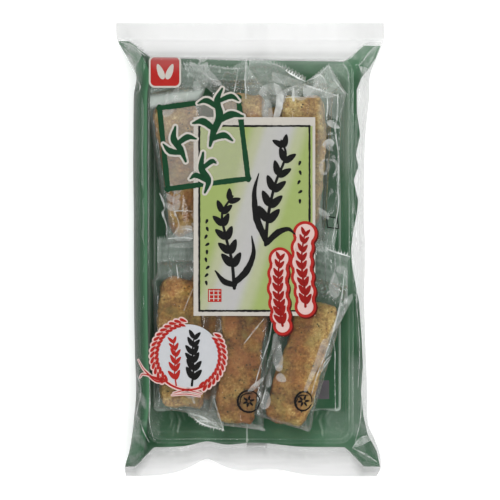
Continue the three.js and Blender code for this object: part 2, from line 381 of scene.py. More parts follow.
def print_points(surface, inwards, shares, left_only=False):
    """Rows of points just inside the film, over shares of the half width from -1 to 1."""
    levels = np.concatenate([np.linspace(0, 0.08, 14)[:-1], np.linspace(0.08, 0.92, 150), np.linspace(0.92, 1, 14)[1:]])
    points = []
    for t in levels:
        top, bottom = print_ends(shares)
        y = bottom + (top - bottom) * t + 0.3 * waves(shares * 60, 0 * shares, 40, 51)
        left, right = half_width(y, True), half_width(y, False)
        reach = right if left_only else np.minimum(right, np.interp(y, RIGHT_EDGE[:, 0], RIGHT_EDGE[:, 1]))
        x = np.where(shares < 0, shares * (left - 0.03), shares * (reach - 0.03))
        points.append(np.stack([x - 0.13 * shares, along(x, y), surface(x, y) + inwards], 1))
    return np.array(points)


shares = np.concatenate([-1 + 0.2 * (1 - np.cos(np.linspace(0, np.pi / 2, 22))), np.linspace(-0.8, 0.8, 80)[1:-1],
                         1 - 0.2 * (1 - np.cos(np.linspace(np.pi / 2, 0, 22)))])
under = print_points(back_z, INK_INSIDE, shares)
wrap_shares = -1 + 0.125 * (1 - np.cos(np.linspace(0, np.pi / 2, 16)))
over = print_points(front_z, -2.5 * INK_INSIDE, wrap_shares, left_only=True)
over[:, 0] = under[:, 0]
green = material("green_gravure_ink")  # lighter where light is painted into it, darker where shade is painted into it, and a little uneven
place = add(green, "ShaderNodeTexCoord")
cloudy = add(green, "ShaderNodeTexNoise", {"Vector": place.outputs["Object"]}, Scale=28, Detail=3)
tone = add(green, "ShaderNodeMix", {"Factor": cloudy.outputs["Fac"]}, data_type="RGBA")
tone.inputs["A"].default_value, tone.inputs["B"].default_value = linear("#234e31"), linear("#2b593b")
speck = add(green, "ShaderNodeTexNoise", {"Vector": place.outputs["Object"]}, Scale=900, Detail=2)
dent = add(green, "ShaderNodeBump", {"Height": speck.outputs["Fac"]}, Strength=0.015, Distance=0.0002)
thin = add(green, "ShaderNodeAttribute", attribute_name="thin")
thinned = add(green, "ShaderNodeMix", {"A": tone.outputs["Result"], "Factor": thin.outputs["Fac"]}, data_type="RGBA")
thinned.inputs["B"].default_value = linear("#6f9c7b")
deep = add(green, "ShaderNodeAttribute", attribute_name="deep")
deepened = add(green, "ShaderNodeMix", {"A": thinned.outputs["Result"], "Factor": deep.outputs["Fac"]}, data_type="RGBA")
deepened.inputs["B"].default_value = linear("#102a1a")
ink = add(green, "ShaderNodeBsdfPrincipled", {"Base Color": deepened.outputs["Result"], "Normal": dent.outputs[0]},
          Roughness=0.4, Specular_IOR_Level=0.08)
add(green, "ShaderNodeOutputMaterial", {"Surface": ink.outputs[0]})
count = under.shape[0] * under.shape[1]
back_print = mesh_object(
    "green_print", np.concatenate([under.reshape(-1, 3), over.reshape(-1, 3)]),
    grid_faces(*under.shape[:2]) + grid_faces(*over.shape[:2], count, flip=True), green)


# Painted light on the green ink: it is lighter towards the print's top and bottom ends and along the tray's left and
# right walls, where the haze and sheen over it are painted in, and at the bottom right corner. The waves make it a
# little uneven all over.
def thin_ink(points):
    x, y = points[..., 0], points[..., 1]
    ends = np.interp(y, [-112, -104, -96, 90, 100, 107, 112], [0.18, 0.16, 0.05, 0.0, 0.14, 0.5, 0.7])
    sides = 0.14 * np.clip((x - 50) / 8, 0, 1) + 0.28 * np.clip((-52.5 - x) / 4, 0, 1) * (abs(y) < 100)
    sides = np.maximum(sides, 0.2 * np.clip((x - 42) / 5, 0, 1) * np.clip((-92 - y) / 5, 0, 1))
    return np.clip(np.maximum(ends, sides) + 0.1 * waves(x, y, 30, 52), 0, 1)


# On the left side of the bag the green gets painted shade near its outer edge and painted light further in.
from_edge = over[..., 0] - over[:, :1, 0]
straight = np.clip((104 - abs(over[..., 1])) / 8, 0, 1)
set_values(back_print, thin=[thin_ink(under), 0.3 * thin_ink(over) + straight * np.interp(from_edge, [6, 8], [0, 0.26])],
           deep=[0 * under[..., 0], straight * np.interp(from_edge, [0, 1, 2.5, 5.5, 7.5], [1, 0.9, 0.62, 0.4, 0])])

violet = material("violet_gravure_ink")
place = add(violet, "ShaderNodeTexCoord")
mottle = add(violet, "ShaderNodeTexNoise", {"Vector": place.outputs["Object"]}, Scale=160, Detail=3)
tone = add(violet, "ShaderNodeMix", {"Factor": mottle.outputs["Fac"]}, data_type="RGBA")
tone.inputs["A"].default_value, tone.inputs["B"].default_value = linear("#3f4d42"), linear("#685467")
ink = add(violet, "ShaderNodeBsdfPrincipled", {"Base Color": tone.outputs["Result"]}, Roughness=0.4)
add(violet, "ShaderNodeOutputMaterial", {"Surface": ink.outputs[0]})
spot_x, spot_y = np.meshgrid(np.linspace(38.5, 46.5, 9), np.linspace(-87.5, -76.5, 12))
spot = np.stack([spot_x, spot_y, back_z(spot_x, spot_y) + 2 * INK_INSIDE], -1)
mesh_object("back_violet_field", spot.reshape(-1, 3), grid_faces(*spot.shape[:2]), violet)

# ---------------------------------------------------------------------------------------------
# Back seam. The film's two edges are welded into a fin down the back, which is folded flat to the
# right. The print is missing along the weld's root, which shows inside as a thin pale line.
# ---------------------------------------------------------------------------------------------
seam_rows = np.linspace(-PACK_LENGTH / 2 + 0.3, PACK_LENGTH / 2 - 0.3, 260)


def fin_sheet(left, right, surface, bottom=seam_rows[0], top=seam_rows[-1], steps=13):
    y = seam_rows[(seam_rows >= bottom) & (seam_rows <= top)]
    x, y = np.meshgrid(np.linspace(left, right, steps), y)
    return np.stack([x, along(x, y), surface(x, y)], -1)


fin_top = lambda x, y: back_z(x, y) - 0.05
ribs = lambda y: 0.04 * np.sin(y * 2 * np.pi / 2.2)
fin_under = lambda x, y: back_z(x, y) - FIN["thick"] + ribs(y)
sheets = [fin_sheet(FIN["left"], FIN["right"], f) for f in (fin_top, fin_under)]
rows, columns = sheets[0].shape[:2]
fin = mesh_object("back_fin", np.concatenate([s.reshape(-1, 3) for s in sheets]),
                  grid_faces(rows, columns) + grid_faces(rows, columns, rows * columns, flip=True), bag_film)
set_values(fin, milky=[np.full(rows * columns, 0.4)] * 2, pale=[np.full(rows * columns, 0.69)] * 2)
inner = fin_sheet(FIN["left"] + 0.3, FIN["right"] - 1.2, lambda x, y: back_z(x, y) - 0.35, PRINT["bottom"], PRINT["top"])
mesh_object("back_fin_print", inner.reshape(-1, 3), grid_faces(*inner.shape[:2]), green)
root = fin_sheet(-2.3, -1.3, lambda x, y: back_z(x, y) + 2 * INK_INSIDE, PRINT["bottom"] + 2, PRINT["top"] - 1, 3)
bare_film = material("unprinted_film_over_white")
place = add(bare_film, "ShaderNodeTexCoord")
uneven = add(bare_film, "ShaderNodeTexNoise", {"Vector": place.outputs["Object"]}, Scale=150, Detail=2)
tone = add(bare_film, "ShaderNodeMix", {"Factor": uneven.outputs["Fac"]}, data_type="RGBA")
tone.inputs["A"].default_value, tone.inputs["B"].default_value = linear("#6f8f78"), linear("#c3cfc6")
body = add(bare_film, "ShaderNodeBsdfPrincipled", {"Base Color": tone.outputs["Result"]}, Roughness=0.4)
add(bare_film, "ShaderNodeOutputMaterial", {"Surface": body.outputs[0]})
mesh_object("back_seam_line", root.reshape(-1, 3), grid_faces(*root.shape[:2]), bare_film)

# ---------------------------------------------------------------------------------------------
# Tray. Clear thermoformed PET sheet: a rolled rim that stiffens it, walls that lean in to a
# floor with a soft bend, and shallow ribs on the end walls. It stands loose in the bag.
# ---------------------------------------------------------------------------------------------
TRAY_RIM = (-59.6, 59.8, -111.6, 110.2)  # left, right, bottom, top of its outer edge
TRAY_FLOOR = (-56.6, 53.4, -94.4, 90.8)
TRAY_HEIGHT = 28.2
RIM_CORNER, FLOOR_CORNER = 8.0, 2.4
ARC = 10  # steps in a corner


def rounded_loop(box, corner, z, across=24, lengthwise=24):
    """Points round a rounded rectangle, the same number for every loop."""
    left, right, bottom, top = box
    points = []
    corners = [(right - corner, top - corner, 0), (left + corner, top - corner, 90),
               (left + corner, bottom + corner, 180), (right - corner, bottom + corner, 270)]
    for k, (cx, cy, start) in enumerate(corners):
        turn = [math.radians(start + 90 * i / ARC) for i in range(ARC + 1)]
        arc = [(cx + corner * math.cos(a), cy + corner * math.sin(a)) for a in turn]
        nx, ny, nstart = corners[(k + 1) % 4]
        a = math.radians(nstart)
        ahead = (nx + corner * math.cos(a), ny + corner * math.sin(a))
        straight = lengthwise if k % 2 else across
        run = [(arc[-1][0] + (ahead[0] - arc[-1][0]) * i / straight,
                arc[-1][1] + (ahead[1] - arc[-1][1]) * i / straight) for i in range(1, straight)]
        points += arc + run
    return [(x, y, z) for x, y in points]


def inset(box, by):
    return (box[0] + by, box[1] - by, box[2] + by, box[3] - by)


def between(a, b, t):
    return tuple(p + (q - p) * t for p, q in zip(a, b))


wall_top = (TRAY_RIM[0] + 1.6, *inset(TRAY_RIM, 3.0)[1:])
profile = [  # box, corner, height, how white the painted highlight along the bend is: from the rim's outer lip down to the floor
    (inset(TRAY_RIM, -0.1), RIM_CORNER, TRAY_HEIGHT - 3.2, 0.2), (TRAY_RIM, RIM_CORNER, TRAY_HEIGHT - 0.9, 0.1),
    (inset(TRAY_RIM, 0.3), RIM_CORNER - 0.3, TRAY_HEIGHT - 0.25, 0.4),
    (inset(TRAY_RIM, 0.9), RIM_CORNER - 0.8, TRAY_HEIGHT, 0.1),
    (between(TRAY_RIM, wall_top, 0.7), RIM_CORNER - 1.6, TRAY_HEIGHT, 0),
    (between(TRAY_RIM, wall_top, 0.9), RIM_CORNER - 2, TRAY_HEIGHT - 0.3, 0.7),
    (wall_top, RIM_CORNER - 2.2, TRAY_HEIGHT - 1.0, 0.1),
    (between(wall_top, TRAY_FLOOR, 0.16), 6.0, TRAY_HEIGHT - 6.5, 0),
    (between(wall_top, TRAY_FLOOR, 0.24), 5.6, TRAY_HEIGHT - 7.3, 0.2),
    (between(wall_top, TRAY_FLOOR, 0.30), 5.6, TRAY_HEIGHT - 8.4, 0), (between(wall_top, TRAY_FLOOR, 0.62), 6.2, 11.0, 0),
    (between(wall_top, TRAY_FLOOR, 0.93), FLOOR_CORNER, 3.4, 0), (between(wall_top, TRAY_FLOOR, 0.98), FLOOR_CORNER, 2.0, 0.3),
    (inset(TRAY_FLOOR, 0.3), FLOOR_CORNER, 1.4, 1), (inset(TRAY_FLOOR, 0.9), FLOOR_CORNER - 0.4, 1.2, 0.6),
    (inset(TRAY_FLOOR, 1.8), FLOOR_CORNER - 0.6, 1.1, 0)]
loops = [rounded_loop(*step[:3], across=110, lengthwise=60) for step in profile]
around = len(loops[0])
points = np.array([p for loop in loops for p in loop])
white = np.repeat([step[3] for step in profile], around)
RIB_AT, RIB_DEPTH = 43.0, 1.6  # a formed rib near each corner of the end walls, wider towards the floor
share = np.clip((TRAY_HEIGHT - 2 - points[:, 2]) / TRAY_HEIGHT, 0, 1) * (points[:, 2] > 1.5)
on_end = (abs(points[:, 1]) > 80) & (abs(points[:, 0]) < 50)
off_rib = abs(abs(points[:, 0]) - RIB_AT) / (0.6 + 3.6 * share)
points[:, 1] -= np.sign(points[:, 1]) * on_end * RIB_DEPTH * share * np.exp(-off_rib**2)
rib_flank_highlight = on_end * (share > 0.05) * np.exp(-(((off_rib - 0.9) / 0.25) ** 2))
faces = [(j * around + i, j * around + (i + 1) % around, (j + 1) * around + (i + 1) % around, (j + 1) * around + i)
         for j in range(len(loops) - 1) for i in range(around)]
faces.append(tuple((len(loops) - 1) * around + i for i in range(around)))
pet = clear_plastic("clear_pet_sheet", 0.035, 0.26, 0.06, (0.012, 0.8), (1.6, 90, 0.5, 0.25), "#cbdace")
tray = mesh_object("tray", points, faces, pet)
x, y = points[:, 0], points[:, 1]
# The tray's whiteness is painted light: highlights along its bends, fading here and there, highlights beside the end
# walls' ribs, painted light on the walls, strongest high on the right wall and along the left wall, and stronger
# highlights on the floor's bends at the right, left and bottom. The crinkle lines on the long walls are painted
# highlights too.
fade = np.clip(0.6 + 0.5 * waves(x, y, 90, 71), 0.2, 1) * np.where(y > 95, 0.35, np.where(y < -98, 0.6, 1))
fade = fade * np.where((x < -50) & (y < -66), 2.2, 1)
wall = (points[:, 2] > 2.5) & (points[:, 2] < TRAY_HEIGHT - 0.8)
painted_wall_light = wall * np.where(x > 45, np.interp(y, [-112, -95, -60, 5, 65], [0.04, 0.1, 0.05, 0.04, 0.6]),
                         np.where(x < -52, np.interp(y, [-112, -100, -70, -20, 20, 55], [0.14, 0.36, 0.28, 0.2, 0.14, 0.45]),
                                  0.05 * (y < -92)))
long_wall = (points[:, 2] > 2.5) * (abs(x) > 50)
bend = white * (points[:, 2] < 3) * np.where(x > 50, np.clip((-34 - y) / 10, 0, 1), np.where((x < -54) | (y < -92), 0.55, 0))
set_values(tray, milky=[np.maximum(0.62 * np.maximum.reduce([white * fade, rib_flank_highlight * 0.6, painted_wall_light]), bend)], loose=[long_wall])

# ---------------------------------------------------------------------------------------------
# Rice crackers. Eight baked sticks of puffed pounded rice with flecks of green laver, brushed
# with soy sauce: a glossy, pitted, blistered crust, browner where it stands out and at the edges.
# ---------------------------------------------------------------------------------------------
THICKNESS = 13.0
STICKS = [  # name, middle, roll about its length, pitch, turn seen from the front, length, width, taper, and how light it is baked at its bottom end and at its top end, and how much lighter it is towards its right side, partly from its bake and partly a painted highlight along that edge
    # and how light it is baked: at its bottom end, at its top end, and more on its right side
    ("cracker_top_left", (-38.4, 47.0, 17.0), 8, 3, 9.5, 75.5, 27.5, 0.0, (0.36, 0.62, 0)),
    ("cracker_top_middle", (-4.7, 52.5, 19.8), -4, 2, 0, 76.5, 27.0, 0.0, (0.8, 0.8, 0)),
    ("cracker_top_right", (28.9, 51.2, 16.0), -7, 3, -3.5, 77.0, 26.0, 0.0, (0.76, 0.76, 0)),
    ("cracker_top_under", (12.0, 46.0, 8.8), 0, 3, 1.0, 75.0, 26.0, 0.0, (0.5, 0.5, 0)),
    ("cracker_bottom_left", (-40.3, -54.5, 14.5), 5, -2, 1.0, 76.0, 25.0, 0.0, (0.82, 0.6, 0)),
    ("cracker_bottom_middle", (-5.8, -62.6, 20.4), 3, -3, -4.5, 76.5, 25.5, 0.12, (0.42, 0.06, 0)),
    ("cracker_bottom_right", (29.6, -64.0, 20.4), -3, -3, -16.5, 73.5, 25.5, 0.0, (0.52, 0.48, 1.0)),
    ("cracker_bottom_under", (-22.0, -50.0, 8.6), 0, 0, 1.0, 75.0, 26.0, 0.0, (0.5, 0.5, 0)),
]


def in_pack(stick):
    """Turns a stick's own points (across, along, up) into the pack's frame."""
    middle_point, roll, pitch, turn = stick[1:5]
    turned = Euler([math.radians(a) for a in (pitch, roll, turn)]).to_matrix()
    return lambda p: np.asarray(p) @ np.array(turned).T + middle_point


crust = material("soy_glazed_rice_crust")
place = add(crust, "ShaderNodeTexCoord")
patches = add(crust, "ShaderNodeTexNoise", {"Vector": place.outputs["Object"]}, Scale=105, Detail=5, Roughness=0.62)
grains = add(crust, "ShaderNodeTexNoise", {"Vector": place.outputs["Object"]}, Scale=620, Detail=4, Roughness=0.7)
both = add(crust, "ShaderNodeMix", {"A": patches.outputs["Fac"], "B": grains.outputs["Fac"]}, data_type="FLOAT", Factor=0.48)
brown = add(crust, "ShaderNodeValToRGB", {"Fac": both.outputs["Result"]})
brown.color_ramp.elements[0].position, brown.color_ramp.elements[0].color = 0.36, linear("#574023")
brown.color_ramp.elements[1].position, brown.color_ramp.elements[1].color = 0.66, linear("#d8c597")
for position, code in ((0.44, "#7a5c35"), (0.50, "#957646"), (0.56, "#ae935f")):
    brown.color_ramp.elements.new(position).color = linear(code)
lengthwise = add(crust, "ShaderNodeMapping", {"Vector": place.outputs["Object"]})
lengthwise.inputs["Scale"].default_value = (60, 22, 60)
broad = add(crust, "ShaderNodeTexNoise", {"Vector": lengthwise.outputs["Vector"]}, Scale=1, Detail=3)
warm = add(crust, "ShaderNodeMapRange", {"Value": broad.outputs["Fac"]}, From_Min=0.40, From_Max=0.66, To_Max=0.75)
baked = add(crust, "ShaderNodeMix", {"A": brown.outputs["Color"], "Factor": warm.outputs["Result"]},
            data_type="RGBA", blend_type="MULTIPLY")
baked.inputs["B"].default_value = linear("#ecc193")
bake = add(crust, "ShaderNodeAttribute", attribute_name="tone")
level = add(crust, "ShaderNodeMix", {"Factor": bake.outputs["Fac"]}, data_type="RGBA")
level.inputs["A"].default_value, level.inputs["B"].default_value = (0.57, 0.41, 0.21, 1), (1.42, 1.56, 1.45, 1)
toned = add(crust, "ShaderNodeMix", {"A": baked.outputs["Result"], "B": level.outputs["Result"]},
            data_type="RGBA", blend_type="MULTIPLY")
toned.inputs["Factor"].default_value = 1
clumps = add(crust, "ShaderNodeTexNoise", {"Vector": place.outputs["Object"]}, Scale=85, Detail=3, Roughness=0.6)
laver_share = add(crust, "ShaderNodeMapRange", {"Value": clumps.outputs["Fac"]}, From_Min=0.52, From_Max=0.66, To_Max=0.45)
greened = add(crust, "ShaderNodeMix", {"A": toned.outputs["Result"], "Factor": laver_share.outputs["Result"]},
              data_type="RGBA")
greened.inputs["B"].default_value = linear("#8b8145")
soy_share = add(crust, "ShaderNodeMapRange", {"Value": clumps.outputs["Fac"]}, From_Min=0.49, From_Max=0.36, To_Max=0.5)
soyed = add(crust, "ShaderNodeMix", {"A": greened.outputs["Result"], "Factor": soy_share.outputs["Result"]},
            data_type="RGBA")
soyed.inputs["B"].default_value = linear("#955c34")
cracks = add(crust, "ShaderNodeTexVoronoi", {"Vector": place.outputs["Object"]}, feature="DISTANCE_TO_EDGE", Scale=150)
crack = add(crust, "ShaderNodeMapRange", {"Value": cracks.outputs["Distance"]}, From_Min=0.08, From_Max=0.01)
where = add(crust, "ShaderNodeMapRange", {"Value": grains.outputs["Fac"]}, From_Min=0.52, From_Max=0.64, To_Max=0.6)
split = add(crust, "ShaderNodeMath", {0: crack.outputs["Result"], 1: where.outputs["Result"]}, operation="MULTIPLY")
split_crust = add(crust, "ShaderNodeMix", {"A": soyed.outputs["Result"], "Factor": split.outputs[0]}, data_type="RGBA")
split_crust.inputs["B"].default_value = linear("#50341a")
spots = add(crust, "ShaderNodeTexVoronoi", {"Vector": place.outputs["Object"]}, Scale=480, Randomness=1.0)
near = add(crust, "ShaderNodeMapRange", {"Value": spots.outputs["Distance"]}, From_Min=0.34, From_Max=0.20)
scatter = add(crust, "ShaderNodeTexNoise", {"Vector": place.outputs["Object"]}, Scale=400, Detail=1)
kept = add(crust, "ShaderNodeMapRange", {"Value": scatter.outputs["Fac"]}, From_Min=0.55, From_Max=0.63)
fleck = add(crust, "ShaderNodeMath", {0: near.outputs["Result"], 1: kept.outputs["Result"]}, operation="MULTIPLY")
laver = add(crust, "ShaderNodeMix", {"A": split_crust.outputs["Result"], "Factor": fleck.outputs[0]}, data_type="RGBA")
laver.inputs["B"].default_value = linear("#33331a")
rough = add(crust, "ShaderNodeTexNoise", {"Vector": place.outputs["Object"]}, Scale=430, Detail=6, Roughness=0.7)
pits = add(crust, "ShaderNodeBump", {"Height": rough.outputs["Fac"]}, Strength=0.8, Distance=0.0007)
glaze = add(crust, "ShaderNodeBsdfPrincipled", {"Base Color": laver.outputs["Result"], "Normal": pits.outputs[0]},
            Roughness=0.55, Subsurface_Weight=0.08, Subsurface_Scale=0.002, Coat_Weight=0.08, Coat_Roughness=0.3)
glaze.inputs["Subsurface Radius"].default_value = (1.0, 0.5, 0.25)
add(crust, "ShaderNodeOutputMaterial", {"Surface": glaze.outputs[0]})


def crust_height(p, seed):
    """How far the crust stands out from the smooth stick at p, in millimetres."""
    q = Vector(p) + Vector((seed * 37.1, seed * 11.3, seed * 5.7))
    swell = noise.noise(q * 0.055) * 1.5 + noise.noise(q * 0.14) * 0.9
    blister = noise.noise(q * 0.42) * 0.6 + noise.noise(q * 0.95) * 0.3
    crack = 1 - abs(noise.noise(q * 0.21 + Vector((9, 4, 1)))) / 0.06
    return swell + blister - 0.7 * max(crack, 0) ** 1.5


def stick_mesh(length, width):
    """A rounded stick as even quads: the faces of a box, bent to a superellipsoid."""
    half = np.array((width, length, THICKNESS)) / 2
    shape = bmesh.new()
    steps = (34, 96, 16)
    squareness = np.array((7.0, 12.0, 6.0))
    for axis in range(3):
        u, v = [k for k in range(3) if k != axis]
        for sign in (-1, 1):
            lines = [np.sin(np.linspace(-1, 1, steps[k] + 1) * np.pi / 2 * 0.86) / math.sin(np.pi / 2 * 0.86) for k in (u, v)]
            made = []
            for b in lines[1]:
                row = []
                for a in lines[0]:
                    p = np.zeros(3)
                    p[axis], p[u], p[v] = sign, a, b
                    p /= (abs(p) ** squareness).sum() ** (1 / 8)
                    row.append(shape.verts.new(p * half))
                made.append(row)
            turned = (sign > 0) != (axis == 1)
            for low, high in zip(made, made[1:]):
                for i in range(len(low) - 1):
                    quad = (low[i], low[i + 1], high[i + 1], high[i])
                    shape.faces.new(quad if turned else quad[::-1])
    bmesh.ops.remove_doubles(shape, verts=shape.verts, dist=0.01)
    shape.normal_update()
    return shape


for seed, stick in enumerate(STICKS):
    name, length, width, taper, (low_tone, high_tone, right_tone) = stick[0], *stick[5:]
    shape = stick_mesh(length, width)
    bow = random.Random(seed).uniform(-1.2, 1.2)
    moved, tones = [], []
    for v in shape.verts:
        p = v.co + v.normal * (crust_height(v.co, seed) - 0.5)
        share = 2 * p.y / length
        # lighter towards the right side where right_tone is set, partly from the bake and partly a painted highlight
        # along that edge
        tones.append(low_tone + (high_tone - low_tone) * (share + 1) / 2 + right_tone * p.x / width)
        p.y += 3.2 * share**5 * noise.noise(Vector((p.x * 0.085, seed * 9.1, math.copysign(3, share))))
        p.x = p.x * (1 + taper * share + 0.12 * noise.noise(Vector((p.y * 0.045, seed * 4.3, 7)))) + bow * (1 - share**2)
        moved.append(tuple(p))
    for v, p in zip(shape.verts, in_pack(stick)(moved)):
        v.co = Vector(p) * MM
    mesh = bpy.data.meshes.new(name)
    shape.to_mesh(mesh)
    shape.free()
    cracker = piece_of_pack(name, mesh, crust)
    set_values(cracker, tone=[tones])

# ---------------------------------------------------------------------------------------------
# Wrappers. Each stick has its own tube of thin clear film: close round the stick, flat and wider
# past its ends, crinkled all over, welded across both ends with a ribbed jaw and cut with a
# serrated knife.
# ---------------------------------------------------------------------------------------------
SLEEVE = dict(body=15.6, end=18.6, bend=4.5, slack=1.0, weld=0.55, tooth=2.05, rib=1.7)
REACH = {  # how far the film spreads beside a stick, to its left and right
    "cracker_top_right": (15.6, 23.0), "cracker_bottom_right": (18.5, 15.8), "cracker_bottom_left": (15.6, 17.5)}
GATHER = {"cracker_bottom_left": 9}  # how sharply a wrapper's ends draw in, 1.8 for the others
BUNCHED = {  # stretches along a stick where its bunched film is whiter, with haze and painted sheen: from, to, how much
    "cracker_top_left": [(37, 44, 0.75), (44, 58, -0.05), (-50, -31, 0.1)], "cracker_top_right": [(26, 40, 0.08), (40, 54, 0.2), (-56, -20, 0.05)],
    "cracker_top_middle": [(24, 38, 0.24), (38, 58, -0.1)], "cracker_bottom_left": [(-56, -39, 0.26), (-39, -30, 0.16)],
    "cracker_top_under": [(36, 49, 0.2)], "cracker_bottom_right": [(36, 60, -0.14)]}
VEILED = {"cracker_top_left": 0.62, "cracker_top_right": 0.95}  # where its side of haze and painted sheen begins, 0.74 for the others
BANDS = {"cracker_top_right": (0.36, 0.64, 0.3)}  # a band of haze and painted sheen along a wrapper: from and to across it, how much
CUTS = {  # each wrapper's two cut edges from left to right, x, y and z: at its top, then at its bottom
    "cracker_top_left": ([(-56, 104, 26), (-44, 106.4, 28.4), (-23, 104.5, 28.4)],
                         [(-49, 2.0, 15), (-38, 1.0, 18), (-26, 2, 18)]),
    "cracker_top_middle": ([(-38.6, 108.3, 28.4), (-25, 107.0, 28.3), (-10.5, 105.4, 28.2), (-1.8, 110.2, 28.6)],
                           [(-22, 3, 16), (-4, 2, 17), (13, 3, 17)]),
    "cracker_top_right": ([(31.8, 96.8, 27.4), (45.5, 107.2, 28.5), (56.4, 88.8, 27.8)],
                          [(15, 0, 14), (33, -1, 16), (49, -1, 17)]),
    "cracker_top_under": ([(-0.5, 111, 28.6), (10.5, 109.8, 28.5), (20.5, 106.2, 28.4), (32.2, 99.7, 28)],
                          [(-4, 0, 10), (13, 0, 10), (30, 0, 10)]),
    "cracker_bottom_left": ([(-54, 7.0, 15), (-41, 8.5, 18), (-27, 8, 18)],
                            [(-34.8, -96, 23), (-28.3, -101, 24), (-21.9, -103, 24.5), (-15.3, -104.4, 25)]),
    "cracker_bottom_middle": ([(-22, 0, 17), (-6, 2, 19), (11, 0, 18)],
                              [(-17, -94, 11), (-8, -97, 14), (8.8, -103.5, 22)]),
    "cracker_bottom_right": ([(22, 7.2, 24), (42, 1.9, 26.5), (58.2, -2.8, 28.8)],
                             [(9, -92, 10), (22, -95, 10), (33, -98, 10)]),
    "cracker_bottom_under": ([(-34, -2, 10), (-20, -2, 10), (-6, -2, 10)],
                             [(-36, -97, 10), (-22, -98, 10), (-8, -98, 10)])}


def tray_height(y):
    """The height of the tray's floor, and of its end walls that lean out."""
    top = (y - TRAY_FLOOR[3]) / (wall_top[3] - TRAY_FLOOR[3])
    bottom = (TRAY_FLOOR[2] - y) / (TRAY_FLOOR[2] - wall_top[2])
    return 1.2 + (TRAY_HEIGHT - 1.5) * np.clip(np.maximum(top, bottom), 0, 1)


def sleeve_points(stick, share, v, front=True, lift=0.0):
    """Points of a sleeve: share runs across it from -1 to 1, v along the stick in millimetres."""
    name, length = stick[0], stick[5]
    seed = STICKS.index(stick)
    share, v = np.broadcast_arrays(np.asarray(share, float), np.asarray(v, float))
    rest, hand = length / 2 - 1.5, np.sign(v)
    t = np.clip((abs(v) - rest) / 15.0, 0, 1.2)  # from the stick's end to the cut
    reach = np.where(share < 0, *REACH.get(name, [SLEEVE["body"]] * 2)) + 1.2 * np.clip((abs(v) - rest + 8) / 8, 0, 1)
    a = share * reach
    to_pack = in_pack(stick)
    flat = np.zeros_like(a)
    start = to_pack(np.stack([a, hand * np.minimum(abs(v), rest), flat], -1))
    ahead = to_pack(np.stack([a, hand * (np.minimum(abs(v), rest) + 7), flat], -1))
    cuts = [np.array(c) for c in CUTS[name]]
    edge = [np.where(v > 0, *[np.interp(share, np.linspace(-1, 1, len(c)), c[:, k]) for c in cuts]) for k in range(3)]
    t3 = np.stack([1 - (1 - np.minimum(t, 1)) ** GATHER.get(name, 1.8), t, t], -1)  # it gathers in before it runs out
    points = (1 - t3) ** 2 * start + 2 * t3 * (1 - t3) * ahead + t3**2 * np.stack(edge, -1)
    side = rise((np.minimum(reach, SLEEVE["body"] + 1.2) - abs(a)) / SLEEVE["bend"], 2.2)
    closed = rise((SLEEVE["weld"] - t) / SLEEVE["weld"], 1.5)
    opened = np.maximum(soft_lower(side, closed, 0.3), 0)
    body = (THICKNESS / 2 + SLEEVE["slack"]) * opened
    loose = np.clip((abs(share) - 0.72) / 0.2, 0, 1) + np.clip(t * 4, 0, 1)
    crinkle = 0.35 * crumple(a, v * 0.5, 11, seed + 60) * opened + 0.5 * np.clip(loose, 0, 1) * crumple(a, v * 0.7, 7, seed + 70)
    tail = np.clip(t * 3, 0, 1) * (1.2 * waves(a, v * 0.25, 17, seed + 90) + 0.9 * crumple(a, v * 0.3, 6, seed + 80))
    ribs = 0.07 * np.sin((abs(v) - rest) * 2 * np.pi / SLEEVE["rib"]) * (t > SLEEVE["weld"])
    up = body + crinkle + 0.05 + lift if front else -body - 0.6 * crinkle - 0.05 - lift
    z = points[..., 2] + up + tail * (1 - 0.6 * t) + ribs
    y = points[..., 1]
    x = np.where(z < TRAY_HEIGHT, np.clip(points[..., 0], wall_top[0] + 0.3, wall_top[1] - 0.3), points[..., 0])
    z = np.maximum(z, tray_height(y) + (0.35 if front else 0.25) + lift)
    return np.stack([x, y, np.minimum(z, front_z(x, y) - (0.35 if front else 0.45) + lift)], -1)


